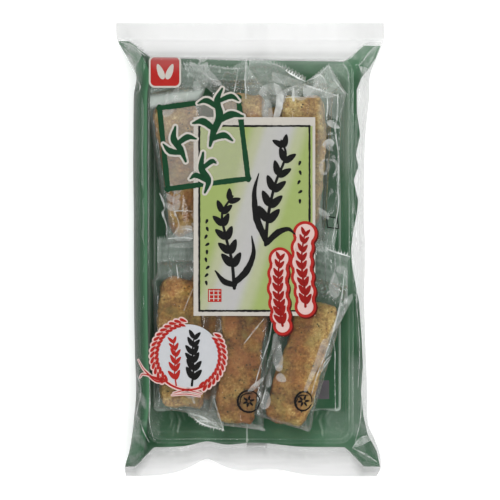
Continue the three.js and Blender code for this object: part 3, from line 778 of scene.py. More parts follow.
sleeve_film = clear_plastic("crinkled_wrapper_film", 0.04, 0.6, 0.12, (0.012, 0.5), (5, 22, 0.26, 0.8), "#d3ddd6")
for stick in STICKS:
    rest = stick[5] / 2 - 1.5
    across = np.linspace(-1, 1, int(2 * SLEEVE["end"] / SLEEVE["tooth"]) * 4 + 1)
    tail = rest + 15.0 * np.linspace(0, 1, 34)
    along_it = np.concatenate([-tail[:0:-1], np.linspace(-rest, rest, 84), tail[1:]])
    v = along_it[:, None] + 0 * across[None]
    teeth = (abs((np.arange(len(across)) / 4) % 1 - 0.5) - 0.25) * SLEEVE["tooth"] * 0.9
    v[0] -= teeth
    v[-1] += teeth
    sheets = [sleeve_points(stick, across[None] + 0 * v, v, front) for front in (True, False)]
    sheets[1][:, [0, -1]] = sheets[0][:, [0, -1]]
    rows, columns = sheets[0].shape[:2]
    sleeve = mesh_object(stick[0].replace("cracker", "wrapper"), np.concatenate([s.reshape(-1, 3) for s in sheets]),
                         grid_faces(rows, columns) + grid_faces(rows, columns, rows * columns, flip=True), sleeve_film)
    t = np.clip((abs(v) - rest) / 15.0, 0, 1)
    # The wrappers' milkiness is partly the film's own haze and partly painted sheen of light on the crinkled film:
    # along their sides, past the sticks' ends, in stripes along the ribbed welds, where the film is bunched, and in
    # bands.
    sides = np.clip((abs(across) - VEILED.get(stick[0], 0.74)) / 0.2, 0, 1)[None] + 0 * v
    welds = (t > SLEEVE["weld"]) * (0.08 + 0.06 * np.sin((abs(v) - rest) * 2 * np.pi / SLEEVE["rib"]))
    bunched = sum(amount * np.clip((v - low) / 2, 0, 1) * np.clip((high - v) / 2, 0, 1)
                  for low, high, amount in BUNCHED.get(stick[0], [(0, 0, 0)]))
    low, high, amount = BANDS.get(stick[0], (0, 0, 0))
    band = amount * np.clip((across - low) / 0.08, 0, 1) * np.clip((high - across) / 0.05, 0, 1)
    milky = np.clip(0.15 * sides + 0.21 * np.clip(t * 4, 0, 1) + welds + bunched + band[None], 0, 1)
    set_values(sleeve, milky=[milky] * 2, loose=[np.clip(0.05 + sides + t * 4, 0, 1)] * 2)

# ---------------------------------------------------------------------------------------------
# Front label. Opaque inks printed on the inside of the front film: a pale card with a soft
# green field, a brushed black rule, and rice plants drawn in brush strokes.
# ---------------------------------------------------------------------------------------------
LAYER = 0.05  # between one ink and the next


def inside_front(xy, layer):
    return np.stack([xy[:, 0], xy[:, 1], front_z(xy[:, 0], xy[:, 1]) - 0.1 - layer * LAYER], 1)


def ink_shapes(name, polygons, layer, made, place=inside_front, cell=3.0):
    """Lays flat shapes on a film, cut into cells so that they follow it."""
    shape = bmesh.new()
    for polygon in polygons:
        shape.faces.new([shape.verts.new((x, y, 0)) for x, y in polygon])
    bmesh.ops.triangulate(shape, faces=shape.faces)
    for axis in (0, 1):
        values = [v.co[axis] for v in shape.verts]
        for k in range(math.ceil(min(values) / cell), math.floor(max(values) / cell) + 1):
            normal = (1, 0, 0) if axis == 0 else (0, 1, 0)
            bmesh.ops.bisect_plane(shape, geom=shape.verts[:] + shape.edges[:] + shape.faces[:],
                                   plane_co=tuple(k * cell * c for c in normal), plane_no=normal)
    for v, spot in zip(shape.verts, place(np.array([v.co[:2] for v in shape.verts]), layer)):
        v.co = Vector(spot) * MM
    bmesh.ops.recalc_face_normals(shape, faces=shape.faces)
    mesh = bpy.data.meshes.new(name)
    shape.to_mesh(mesh)
    shape.free()
    return piece_of_pack(name, mesh, made)


def printed_ink(name, light, dark, roughness=0.4):
    """Dried gravure ink: nearly even, with the faint mottle of the press."""
    made = material(name)
    where = add(made, "ShaderNodeTexCoord")
    mottle = add(made, "ShaderNodeTexNoise", {"Vector": where.outputs["Object"]}, Scale=260, Detail=4)
    blend = add(made, "ShaderNodeMix", {"Factor": mottle.outputs["Fac"]}, data_type="RGBA")
    blend.inputs["A"].default_value, blend.inputs["B"].default_value = linear(dark), linear(light)
    body = add(made, "ShaderNodeBsdfPrincipled", {"Base Color": blend.outputs["Result"]}, Roughness=roughness,
               Specular_IOR_Level=0.1)
    add(made, "ShaderNodeOutputMaterial", {"Surface": body.outputs[0]})
    return made


def smooth_path(points, steps=8):
    """A smooth line through the points."""
    p = np.array(points, float)
    ends = np.vstack([2 * p[0] - p[1], p, 2 * p[-1] - p[-2]])
    line = []
    for a, b, c, d in zip(ends, ends[1:], ends[2:], ends[3:]):
        for t in np.arange(steps) / steps:
            line.append(0.5 * (2 * b + (c - a) * t + (2 * a - 5 * b + 4 * c - d) * t**2 + (3 * b - a - 3 * c + d) * t**3))
    return np.array(line + [p[-1]])


def stroke(points, widths, grow=0.0, rough=0.0, seed=1):
    """A brush stroke along points, as wide as widths along it, with an uneven edge."""
    line = smooth_path(points)
    along_it = np.linspace(0, 1, len(line))
    width = np.interp(along_it, np.linspace(0, 1, len(widths)), widths) / 2 + grow
    ahead = np.gradient(line, axis=0)
    side = np.stack([-ahead[:, 1], ahead[:, 0]], 1) / np.hypot(*ahead.T)[:, None]
    dice = np.random.default_rng(seed)
    left = line + side * (width * (1 + rough * dice.uniform(-1, 1, len(line))))[:, None]
    right = line - side * (width * (1 + rough * dice.uniform(-1, 1, len(line))))[:, None]
    quads = [(left[i], left[i + 1], right[i + 1], right[i]) for i in range(len(line) - 1)]
    return quads + [disc(line[0], width[0], 12), disc(line[-1], width[-1], 12)]


def disc(middle_point, radius, steps=48):
    turn = np.arange(steps) * 2 * np.pi / steps
    return [(middle_point[0] + radius * c, middle_point[1] + radius * s) for c, s in zip(np.cos(turn), np.sin(turn))]


def grain(x, y, length, width, degrees, grow=0.0):
    """A rice grain: a long oval that is pointed at its far end."""
    a = math.radians(degrees)
    outline = []
    for t in np.arange(18) * 2 * np.pi / 18:
        u = math.cos(t) * (length / 2 + grow)
        v = math.sin(t) * (width / 2 + grow) * (1 - 0.3 * math.cos(t))
        outline.append((x + u * math.cos(a) - v * math.sin(a), y + u * math.sin(a) + v * math.cos(a)))
    return outline


def box_shape(left, bottom, right, top):
    return [(left, bottom), (right, bottom), (right, top), (left, top)]


def rice_ear(stem, pairs, length, width, start=0.35, spread=34, grow=0.0, stem_width=1.1):
    """A drooping ear of rice: a stem, and grains in pairs that point towards its tip."""
    line = smooth_path(stem, 12)
    shapes = stroke(stem, [stem_width, stem_width * 0.6], grow)
    run = np.concatenate([[0], np.cumsum(np.hypot(*np.diff(line, axis=0).T))])
    for k in range(pairs):
        at = start + (1 - start) * k / (pairs - 0.5)
        i = min(int(np.searchsorted(run, at * run[-1])), len(line) - 2)
        ahead = line[i + 1] - line[i]
        heading = math.degrees(math.atan2(ahead[1], ahead[0]))
        shrink = 1 - 0.3 * k / pairs
        for hand in (-1, 1):
            turn = math.radians(heading + hand * spread)
            reach = length * shrink * 0.55
            spot = line[i] + reach * np.array((math.cos(turn), math.sin(turn))) + hand * 0.3
            shapes.append(grain(*spot, length * shrink, width * shrink, heading + hand * spread, grow))
    return shapes


card = printed_ink("white_card_ink", "#bbb7af", "#b1aca4")
black = printed_ink("black_ink", "#191919", "#0d0d0d", 0.5)
CARD = (-32.5, -37.9, 37.6, 76.5)
ink_shapes("label_card", [box_shape(*CARD)], 3, card)

field = material("green_to_grey_field_ink")
place = add(field, "ShaderNodeTexCoord")
turned = add(field, "ShaderNodeMapping", {"Vector": place.outputs["Object"]}, Rotation=(0, 0, math.radians(17.3)))
turned.inputs["Location"].default_value = (0.0049, 0, 0)
axes = add(field, "ShaderNodeSeparateXYZ", {"Vector": turned.outputs["Vector"]})
over_width = add(field, "ShaderNodeMapRange", {"Value": axes.outputs["X"]}, From_Min=-0.032, From_Max=0.032)
shade = add(field, "ShaderNodeValToRGB", {"Fac": over_width.outputs["Result"]})
shade.color_ramp.interpolation = "EASE"
shade.color_ramp.elements[0].position, shade.color_ramp.elements[0].color = 0.22, linear("#8f9e5f")
shade.color_ramp.elements[1].position, shade.color_ramp.elements[1].color = 0.80, linear("#909f61")
for position, code in ((0.33, "#a3a689"), (0.42, "#aaaaa5"), (0.58, "#aaa9a8"), (0.69, "#a2a786")):
    shade.color_ramp.elements.new(position).color = linear(code)
paper = add(field, "ShaderNodeTexNoise", {"Vector": place.outputs["Object"]}, Scale=300, Detail=5)
faint = add(field, "ShaderNodeMapRange", {"Value": paper.outputs["Fac"]}, To_Min=0.94, To_Max=1.04)
mottled = add(field, "ShaderNodeMix", {"A": shade.outputs["Color"], "B": faint.outputs["Result"]},
              data_type="RGBA", blend_type="MULTIPLY")
mottled.inputs["Factor"].default_value = 1
body = add(field, "ShaderNodeBsdfPrincipled", {"Base Color": mottled.outputs["Result"]}, Roughness=0.4,
           Specular_IOR_Level=0.1)
add(field, "ShaderNodeOutputMaterial", {"Surface": body.outputs[0]})
RULE = (-29.2, -35.0, 34.3, 71.4)
ink_shapes("label_field", [box_shape(*RULE[:2], RULE[2] + 1.7, RULE[3])], 2, field)

left, bottom, right, top = RULE
rule = []
for k, (a, b) in enumerate([((left, bottom), (right, bottom)), ((right, bottom), (right, top)),
                            ((right, top), (left, top)), ((left, top), (left, bottom))]):
    bits = [between(a, b, t) for t in np.linspace(0, 1, 9)]
    rule += stroke(bits, [1.25, 0.95, 1.3, 1.0, 1.2], rough=0.22, seed=k)
ink_shapes("label_rule", rule, 1, black)

brushed = rice_ear([(9, 3), (10.5, 20), (14.5, 38), (20.5, 54), (18, 63)], 6, 10.5, 4.6, 0.2, 36, stem_width=2.0)
brushed += stroke([(9, 6), (4, 18), (2.5, 33), (5, 44)], [3.6, 4.2, 2.6, 0.6], rough=0.06, seed=11)
brushed += stroke([(9.5, 4), (16, 10), (22, 12), (26, 9)], [3.2, 3.8, 2.4, 0.6], rough=0.06, seed=12)
brushed += rice_ear([(-9, -22), (-10.5, -6), (-14, 8), (-16, 21), (-10, 31)], 6, 9.6, 4.4, 0.2, 36, stem_width=2.0)
brushed += stroke([(-9, -19), (-2, -12), (2, -2), (1, 8)], [3.4, 4.0, 2.6, 0.6], rough=0.06, seed=13)
brushed += stroke([(-9, -20), (-15, -18), (-20, -12)], [3.2, 3.4, 0.8], rough=0.06, seed=14)
for x, first, last, count in ((28.6, 50, 28, 5), (-24.9, 16.5, -19, 9)):
    for k, y in enumerate(np.linspace(first, last, count)):
        brushed.append(grain(x + 0.5 * math.sin(2.3 * k), y, 2.9, 1.5, 250 + 40 * math.sin(1.7 * k)))
ink_shapes("label_brushwork", brushed, 0, black)

red = printed_ink("red_ink", "#a82822", "#931d1a")
stamp = [box_shape(-24.2, -29.9, -16.4, -22.4)]
ink_shapes("label_stamp", stamp, 1, red)
carved = [b for k in range(3) for b in (box_shape(-23.6 + k * 2.5, -29.3, -23.1 + k * 2.5, -23.0),)]
carved += [box_shape(-23.6, -28.2 + k * 2.2, -17.0, -27.8 + k * 2.2) for k in range(3)]
ink_shapes("label_stamp_lines", carved, 0, card)

# ---------------------------------------------------------------------------------------------
# Laver panel. A square frame printed askew over the label's corner in dark green, its inside
# veiled with thin white ink, and fronds of laver brushed across it with a white edge.
# ---------------------------------------------------------------------------------------------
PANEL = [(-53.8, 83.1), (-5.5, 89.5), (0.6, 39.8), (-48.6, 33.5)]
FRAME_WIDTH = 3.0
dark_green = printed_ink("dark_green_ink", "#164127", "#113520")
veil = material("thin_white_ink")
place = add(veil, "ShaderNodeTexCoord")
grainy = add(veil, "ShaderNodeTexNoise", {"Vector": place.outputs["Object"]}, Scale=400, Detail=2)
thick = add(veil, "ShaderNodeMapRange", {"Value": grainy.outputs["Fac"]}, To_Min=0.17, To_Max=0.29)
see = add(veil, "ShaderNodeBsdfTransparent", Color=linear("#ffffff"))
chalk = add(veil, "ShaderNodeBsdfDiffuse", Color=linear("#cdc8c1"))
thin = add(veil, "ShaderNodeMixShader", {"Fac": thick.outputs["Result"]})
veil.node_tree.links.new(see.outputs[0], thin.inputs[1])
veil.node_tree.links.new(chalk.outputs[0], thin.inputs[2])
add(veil, "ShaderNodeOutputMaterial", {"Surface": thin.outputs[0]})
centre = np.mean(PANEL, 0)
ink_shapes("panel_veil", [[tuple(centre + (np.array(p) - centre) * 0.97) for p in PANEL]], 1.5, veil)
frame_strokes = []
for k in range(4):
    a, b = np.array(PANEL[k]), np.array(PANEL[(k + 1) % 4])
    a, b = centre + (a - centre) * 0.94, centre + (b - centre) * 0.94
    frame_strokes += stroke([between(a, b, t) for t in np.linspace(-0.015, 1.015, 9)], [2.6, 3.3, 2.7, 3.2, 2.9],
                            rough=0.07, seed=20 + k)
ink_shapes("panel_frame", frame_strokes, 0.8, dark_green)

FRONDS = [  # points of each brushed frond, then its widths
    ([(-23, 60), (-21, 68), (-17.5, 77), (-19, 86), (-16, 93)], [1.6, 3.8, 4.6, 3.6, 1.2]),
    ([(-20, 69), (-27, 74), (-33, 73)], [3.0, 4.2, 1.0]), ([(-18.5, 74), (-11, 78), (-4, 77)], [3.0, 4.4, 1.2]),
    ([(-18.5, 82), (-25, 86), (-30, 84.5)], [2.6, 3.4, 0.8]), ([(-17.5, 86), (-11, 88.5), (-6.5, 86)], [2.4, 3.2, 0.8]),
    ([(-22, 64), (-15, 66), (-10, 63)], [2.8, 3.8, 1.0]),
    ([(-37, 51), (-40, 58), (-44, 64), (-43, 71)], [1.4, 3.6, 4.0, 1.2]), ([(-39, 56), (-46, 57), (-50, 61)], [2.6, 3.6, 0.9]),
    ([(-42, 61), (-36, 65), (-31, 64)], [2.6, 3.6, 0.9]),
    ([(-26, 33), (-24, 40), (-28, 47), (-27, 56)], [1.2, 3.6, 3.8, 1.4]), ([(-25, 40), (-31, 43), (-34.5, 41)], [2.4, 3.4, 0.8]),
    ([(-27.5, 47), (-22, 51), (-19.5, 50)], [2.4, 3.0, 0.8])]
ink_shapes("frond_edges", [q for k, (p, w) in enumerate(FRONDS) for q in stroke(p, w, 1.15, 0.03, 40 + k)], 0.4, card)
ink_shapes("fronds", [q for k, (p, w) in enumerate(FRONDS) for q in stroke(p, w, 0, 0.05, 40 + k)], 0, dark_green)

# ---------------------------------------------------------------------------------------------
# Red strips. Two long lobed badges that overlap the label's lower right corner: a red edge, a
# pale pink inside, and a column of red brushed grains.
# ---------------------------------------------------------------------------------------------
pink = printed_ink("pale_pink_ink", "#cfb5b0", "#c6aaa4")
STRIPS = [  # lobes from top to bottom as x, y, radius
    [(31.7, 9.6, 7.1), (30.2, 1.5, 6.9), (29.7, -7, 7.0), (30.4, -15.5, 6.9), (31.6, -24, 6.6), (31.9, -32.6, 6.3)],
    [(17.2, -5, 6.6), (16.3, -13.5, 6.4), (16.2, -22, 6.6), (16.9, -30.5, 6.5), (17.6, -38, 6.3), (18.8, -43.6, 5.6)]]


def lobes(strip, grow):
    shapes = [disc((x, y), r + grow, 40) for x, y, r in strip]
    for (x0, y0, r0), (x1, y1, r1) in zip(strip, strip[1:]):
        r0, r1 = r0 + grow - 0.9, r1 + grow - 0.9
        shapes.append([(x0 - r0, y0), (x1 - r1, y1), (x1 + r1, y1), (x0 + r0, y0)])
    return shapes


shadow = [[(x + 0.7, y - 0.7) for x, y in s] for strip in STRIPS for s in lobes(strip, 0.1)]
ink_shapes("strip_shadows", shadow, 0.9, printed_ink("dark_red_ink", "#571511", "#43100d"))
ink_shapes("strip_edges", [s for strip in STRIPS for s in lobes(strip, 0)], 0.6, red)
ink_shapes("strip_fields", [s for strip in STRIPS for s in lobes(strip, -1.7)], 0.3, pink)
dabs = []
for strip in STRIPS:
    stem = [(x, y + (r * 0.1 if k == 0 else 0)) for k, (x, y, r) in enumerate(strip)]
    dabs += rice_ear(stem[::-1], 9, 7.0, 3.0, 0.02, 32, stem_width=1.5)
ink_shapes("strip_dabs", dabs, 0, printed_ink("deep_red_ink", "#8f1a17", "#7c1210"))

# ---------------------------------------------------------------------------------------------
# Round mark. A pale disc in a wreath of two red rice ears, tied at the bottom, with short
# black and red brush marks inside.
# ---------------------------------------------------------------------------------------------
MARK = np.array((-35.6, -61.0))
MARK_RADIUS = 19.2
polar = lambda r, degrees: MARK + r * np.array((math.cos(math.radians(degrees)), math.sin(math.radians(degrees))))
wreath, edge = [], []
for first, last, count in ((98, 222, 15), (35, -62, 12)):
    for k in range(count):
        degrees = first + (last - first) * k / (count - 1)
        hand = 1 if last > first else -1
        for ring, lean in ((1.5, 30), (-1.1, -26)):
            spot = polar(MARK_RADIUS + ring, degrees + (ring < 0) * 3.0 * hand)
            heading = degrees - 90 * hand - hand * lean * (1 if ring > 0 else 1) * np.sign(ring)
            wreath.append(grain(*spot, 4.4, 1.7, heading))
            edge.append(grain(*spot, 4.4, 1.7, heading, 0.8))
for first, last in ((222, 270), (298, 270)):
    arc = [polar(MARK_RADIUS + 0.3, d) for d in np.linspace(first, last, 6)]
    wreath += stroke(arc, [1.3, 1.0])
    edge += stroke(arc, [1.3, 1.0], 0.8)
tails = [([(-50.8, -75), (-55, -74), (-61, -69), (-64.5, -63.5)], [1.3, 1.0, 0.7, 0.4]),
         ([(-51.3, -74.4), (-56, -73), (-61.5, -71.5), (-63.5, -73.5)], [1.2, 1.0, 0.8, 0.5]),
         ([(-49.6, -75.8), (-54, -75.6), (-58, -72.5), (-62, -68)], [1.4, 1.2, 0.9, 0.5]),
         ([(-44, -82.4), (-36.5, -80.8), (-28, -82.6)], [0.5, 0.9, 0.5]), ([(-45, -83.6), (-36.5, -83.0), (-29, -84.2)], [0.4, 0.7, 0.4])]
ink_shapes("mark_edge", edge + [q for p, w in tails for q in stroke(p, w, 0.55)], 1.2, pink)
disc_ink = printed_ink("grey_white_ink", "#bcbec1", "#b1b3b6")
ink_shapes("mark_disc", [disc(MARK, MARK_RADIUS - 1.0, 96)], 1.0, disc_ink)
ink_shapes("mark_wreath", wreath + [q for p, w in tails for q in stroke(p, w, -0.1)], 0.5, red)
ink_shapes("mark_black_ear", rice_ear([(-33.5, -78), (-32.5, -68), (-33.2, -59), (-32.2, -50)], 6, 7.8, 3.4, 0.12, 36,
                                       stem_width=1.4), 0.5, black)
ink_shapes("mark_red_ear", rice_ear([(-42.5, -78), (-43.5, -70), (-43, -60), (-44.5, -52)], 6, 6.4, 2.5, 0.12, 34,
                                     stem_width=0.9), 0.5, red)

# ---------------------------------------------------------------------------------------------
# Wrapper print. The sleeves over the visible sticks carry rice ears, husks and blades in thin white ink,
# which veil the stick behind them; two carry a small black ring mark near one end, and one a small black frame.
# ---------------------------------------------------------------------------------------------
EARS = {  # where the ears stand on each visible sleeve: across, along, heading in degrees
    "cracker_top_left": [(-8, 30, 50), (-9, -26, 84), (6, -39, 95)],
    "cracker_top_middle": [(-6, 40, 100)], "cracker_top_right": [(-12, 30, 96)],
    "cracker_bottom_left": [(7, -34, 95)]}
HUSKS = {  # solid husks: across, along, length, width, heading
    "cracker_bottom_right": [(-8.2, -12.8, 6.4, 4.6, -18), (-14.8, -16, 8.6, 3.4, 100), (-13.2, -27.7, 10.5, 5.8, 98),
                             (7.0, 42.6, 6.8, 6.0, 94)],
    "cracker_bottom_middle": [(12.8, -20, 4.5, 2.4, 100)]}
LOOPS = {  # rice husks drawn as open loops: across, along, half width, half length, heading
    "cracker_top_right": [(14.6, -2, 2.2, 4.2, -4), (-2, 41, 4, 5, 20)]}
BLADES = {  # bent husks: their points across and along, then their widths
    "cracker_bottom_right": [([(-18.4, 9.7), (-16.1, 3.7), (-13.4, -2.7), (-11.2, -7.5)], [2.6, 5.4, 6.4, 4.2]),
                             ([(8.2, 46.8), (12.0, 46.9), (14.8, 45.0), (15.2, 42.3), (13.6, 39.2)], [1.2, 1.8, 3.2, 4.0, 2.2])],
    "cracker_top_right": [([(15.8, 2.5), (20.4, 1.6), (22, -2), (20.6, -6)], [0.8, 1.9, 1.9, 0.8])]}
white_ink = material("thin_white_wrapper_ink")
see = add(white_ink, "ShaderNodeBsdfTransparent", Color=linear("#ffffff"))
chalk = add(white_ink, "ShaderNodeBsdfDiffuse", Color=linear("#dcdddb"))
place = add(white_ink, "ShaderNodeTexCoord")
patchy = add(white_ink, "ShaderNodeTexNoise", {"Vector": place.outputs["Object"]}, Scale=120, Detail=3)
amount = add(white_ink, "ShaderNodeMapRange", {"Value": patchy.outputs["Fac"]}, To_Min=0.16, To_Max=0.38)
half_hidden = add(white_ink, "ShaderNodeMixShader", {"Fac": amount.outputs["Result"]})
white_ink.node_tree.links.new(see.outputs[0], half_hidden.inputs[1])
white_ink.node_tree.links.new(chalk.outputs[0], half_hidden.inputs[2])
add(white_ink, "ShaderNodeOutputMaterial", {"Surface": half_hidden.outputs[0]})


def on_sleeve(name):
    """Places flat shapes on the front of one stick's sleeve."""
    stick = next(stick for stick in STICKS if stick[0] == name)
    low, high = REACH.get(name, [SLEEVE["body"]] * 2)
    return lambda xy, layer: sleeve_points(stick, xy[:, 0] / np.where(xy[:, 0] < 0, low, high), xy[:, 1], True, 0.06 * layer)


for name in {**EARS, **LOOPS, **HUSKS, **BLADES}:
    shapes = [grain(*husk) for husk in HUSKS.get(name, [])]
    shapes += [q for k, (path, widths) in enumerate(BLADES.get(name, [])) for q in stroke(path, widths, rough=0.06, seed=k)]
    for a, v, half_across, half_along, degrees in LOOPS.get(name, []):
        lean = math.radians(degrees)
        oval = [(half_across * math.sin(t), half_along * math.cos(t)) for t in np.linspace(0.25, 5.9, 15)]
        path = [(a + u * math.cos(lean) - w * math.sin(lean), v + u * math.sin(lean) + w * math.cos(lean)) for u, w in oval]
        shapes += stroke(path, [0.8, 2.4, 1.5, 2.6, 1.0])
    for a, v, degrees in EARS.get(name, []):
        turn = math.radians(degrees)
        tip = lambda reach, side: (a + reach * math.cos(turn) - side * math.sin(turn), v + reach * math.sin(turn) + side * math.cos(turn))
        stem = [tip(0, 0), tip(5, 0.8), tip(10, 0.6), tip(15, -0.8)]
        shapes += [s for s in rice_ear(stem, 3, 7.2, 3.4, 0.15, 40, stem_width=1.4) if max(abs(p[0]) for p in s) < 20]
    ink_shapes(name.replace("cracker", "wrapper_ears"), shapes, 1, white_ink, on_sleeve(name))

for name, a, v, radius, tall in (("cracker_bottom_middle", 6.9, -24.2, 6.3, 0.98), ("cracker_bottom_right", 7.8, -21.8, 4.8, 1.15)):
    ring = [(a + radius * math.cos(t), v + radius * tall * math.sin(t)) for t in np.linspace(0.2, 6.2, 26)]
    shapes = stroke(ring, [0.6, 0.8, 1.4, 1.1, 0.6], rough=0.35, seed=3)
    shapes += stroke([(a + 0.8 * u, v + 0.8 * w) for u, w in ((0.3 * radius, radius), (-0.8 * radius, 0.6 * radius), (-radius, -0.4 * radius))],
                     [0.4, 0.7, 0.4], rough=0.3, seed=4)
    for degrees in (20, 85, 150, 205, 260, 320):
        turn = math.radians(degrees)
        shapes.append(grain(a + 2.1 * math.cos(turn), v + 2.1 * math.sin(turn), 2.9, 1.3, degrees))
    ink_shapes(name.replace("cracker", "wrapper_ring"), shapes, 2, black, on_sleeve(name))
frame_lines = [(17.2, -30.6), (23.4, -31.4), (23.4, -37.4), (17.4, -37.0), (17.2, -30.6)]
ink_shapes("wrapper_small_frame", [q for a, b in zip(frame_lines, frame_lines[1:]) for q in stroke([a, between(a, b, 0.5), b], [0.5, 0.7])],
           2, black, on_sleeve("cracker_top_right"))

# ---------------------------------------------------------------------------------------------
# Sharp folds and facets. Along hard creases of the bag film and the wrappers runs a thin painted highlight,
# and the flat facets between folds have a painted milky sheen. Those of the wrappers lie under the bag film.
# ---------------------------------------------------------------------------------------------
BAG_FOLDS = [  # points of each painted fold highlight, then its widths
    ([(-77.1, 121.5), (-68.9, 113.3), (-65.9, 108.0)], [0.3, 0.8, 0.3]),
    ([(-75.9, 122.1), (-70, 120.4), (-61.2, 113.3)], [0.4, 0.7, 0.8, 0.4]),
    ([(-66.5, 90.3), (-64.1, 95), (-65.9, 99.8)], [0.3, 0.9, 0.3]),
    ([(77.1, 122.1), (70.6, 116.8), (66.5, 110.9), (63.6, 108)], [0.3, 0.9, 0.8, 0.3]),
    ([(63.6, 108), (65.9, 102.7), (69.4, 98)], [0.3, 0.8, 0.2]),
    ([(77.1, 122.1), (68, 121.2), (61.8, 115.6), (57.4, 111.4), (50, 110.4)], [0.4, 0.7, 0.9, 0.9, 0.4]),
    ([(54.2, 108.7), (55.6, 106.7), (57.1, 104.1), (57.3, 98)], [0.3, 0.9, 0.6, 0.2]),
    ([(-66.5, -72.1), (-64.1, -78.6), (-64.1, -85.6), (-66.4, -94.5)], [0.2, 0.8, 0.5, 0.2]),
    ([(-58.8, -112.1), (-62.4, -105), (-64.7, -97.4)], [0.3, 0.7, 0.2]),
    ([(60, -115), (63.6, -110.3), (68.3, -108.9), (72.2, -110.9)], [0.4, 1.0, 0.7, 0.3]),
    ([(60, -115.6), (67.7, -119.8), (74.4, -124.4)], [0.6, 1.3, 0.5]), ([(60, -115), (65.9, -113.4), (71.4, -111.2)], [0.3, 0.5, 0.2]),
    ([(65.3, -85.6), (64.7, -95.6), (63.6, -103.3), (61.2, -112.1)], [0.2, 0.6, 0.5, 0.2]),
    ([(63.5, -8), (62.2, -30), (64, -55), (63, -80)], [0.2, 0.5, 0.3, 0.5, 0.2]),
    ([(-58.6, -72), (-58.4, -87.9), (-58.6, -99.6), (-56.6, -108.9)], [0.2, 0.7, 0.5, 0.2]),
    ([(-64.2, -82), (-66, -93.7), (-68.3, -105.4)], [0.2, 0.5, 0.2])]
WRAPPER_FOLDS = [
    ([(55.2, -12), (52.6, -32), (45.8, -55.8), (39, -73.3), (36, -84)], [0.4, 1.0, 0.8, 0.8, 0.3]),
    ([(8.2, -40), (2, -47.5), (-3.5, -54.6)], [0.3, 0.9, 0.4]), ([(12.8, -41.8), (10.9, -52.8), (5.4, -69.8), (2.6, -79.7)], [0.3, 0.9, 0.6, 0.3]),
    ([(-21.6, -85), (-18.6, -95), (-15.2, -105.4)], [0.3, 0.9, 0.5]), ([(-33.3, -22.8), (-36, -29), (-38.5, -35.3)], [0.2, 0.6, 0.3]),
    ([(-43, -8.5), (-42.3, -12.6), (-42, -16.6)], [0.3, 0.9, 0.4]), ([(-41, 12), (-37.5, 12.4), (-34, 11.7)], [0.3, 1.0, 0.4]),
    ([(-47.7, 6.7), (-39.6, 7.2), (-33.4, 6.7)], [0.4, 1.0, 0.4]), ([(-44, 22.6), (-39, 22.9), (-33.5, 22.6)], [0.3, 0.9, 0.5]),
    ([(-43.9, 22.5), (-41.5, 14.3), (-45, 8.5)], [0.2, 0.8, 0.3]),
    ([(-52.7, 33), (-50.9, 29), (-49.7, 24.3), (-50.9, 21.4), (-48.6, 14.3), (-48.6, 8.5)], [0.4, 1.4, 0.6, 1.4, 0.6, 0.3]),
    ([(-26.2, 107), (-24.5, 101.1), (-17.5, 98.2)], [0.2, 0.6, 0.3]), ([(-7, 105.8), (-8.3, 97), (-9.9, 88.9)], [0.3, 0.8, 0.5]),
    ([(-2.3, 110.3), (-2.8, 100), (-2.3, 88.3)], [0.5, 1.1, 0.6]), ([(20.4, 88.9), (26, 89.3), (30.9, 88.9)], [0.3, 0.8, 0.4]),
    ([(25.4, 94.2), (25.1, 90), (25.4, 87.2)], [0.8, 1.8, 1.4]),
    ([(31.5, 96.5), (36.7, 94.7), (43.7, 92.4), (50.7, 90.1)], [0.6, 1.1, 1.0, 0.4]),
    ([(51, 90.6), (51.3, 83), (51, 75.5)], [0.4, 1.0, 0.4]), ([(37.3, 101.2), (40.8, 102.3), (43.7, 98.8), (44.9, 91.8)], [0.3, 0.8, 0.7, 0.4]),
    ([(45, 90), (45.2, 84), (44.8, 77)], [0.4, 0.8, 0.3]),
    ([(51.4, 90.8), (50.7, 76.8), (49.6, 71), (51.3, 58.1), (51.7, 49.3), (51.4, 34.7), (51.3, 24.2), (47.6, 3.8)],
     [0.5, 1.1, 1.0, 0.8, 0.9, 1.1, 0.8, 0.4]),
    ([(47.4, -61.7), (44.4, -64.6), (41.5, -69.3), (41, -71)], [0.3, 0.9, 0.6, 0.2]),
    ([(46.8, -63.4), (43.3, -68.2), (41.5, -71.6)], [0.3, 0.9, 0.3]), ([(7, -89.1), (9.3, -80.9)], [0.8, 0.4]),
    ([(-35, -95.5), (-27, -98), (-18, -103.5)], [0.4, 1.3, 0.5]), ([(-31, -99.5), (-24, -100), (-19, -101)], [0.3, 1.0, 0.3]),
    ([(47.9, -49), (49.6, -60), (49.4, -72), (49.8, -90), (49.6, -93)], [0.3, 0.6, 0.4, 0.5, 0.3]),
    ([(32.4, 98.5), (39.5, 101.5), (45.4, 107.5)], [0.3, 0.7, 0.3]), ([(46, 107.5), (49.5, 99), (55.5, 91)], [0.3, 0.8, 0.3])]
BAG_FACETS = [  # how white its painted sheen is, and the facet's corners
    (0.44, [(-76.6, 121.6), (-68.9, 113.4), (-66.2, 108.2), (-67.6, 103.6), (-71.6, 111.6)]),
    (0.32, [(-75.0, 121.6), (-70.6, 120.4), (-62.6, 114.2), (-65.6, 108.8), (-68.5, 113)]),
    (0.2, [(76.4, 121.6), (70.2, 117), (66.5, 111.3), (64.2, 108.4), (69.8, 107), (72.6, 113)]),
    (0.38, [(64, 107.6), (69.6, 106.6), (69.4, 98.4), (66, 102.4)]),
    (0.10, [(68, 120.6), (75, 121.6), (69.4, 117), (65.6, 110.8), (58.4, 111.2), (61.8, 115)]),
    (0.32, [(60.4, -114.6), (63.6, -110.6), (68.2, -109.2), (72, -110.9), (66, -113)]),
    (0.10, [(62, -117.6), (67.6, -120.2), (73.6, -123.6), (66.4, -123.6)]),
    (0.14, [(-64.8, -97.5), (-67.2, -97), (-69.6, -108), (-66.5, -112), (-63.5, -106)])]
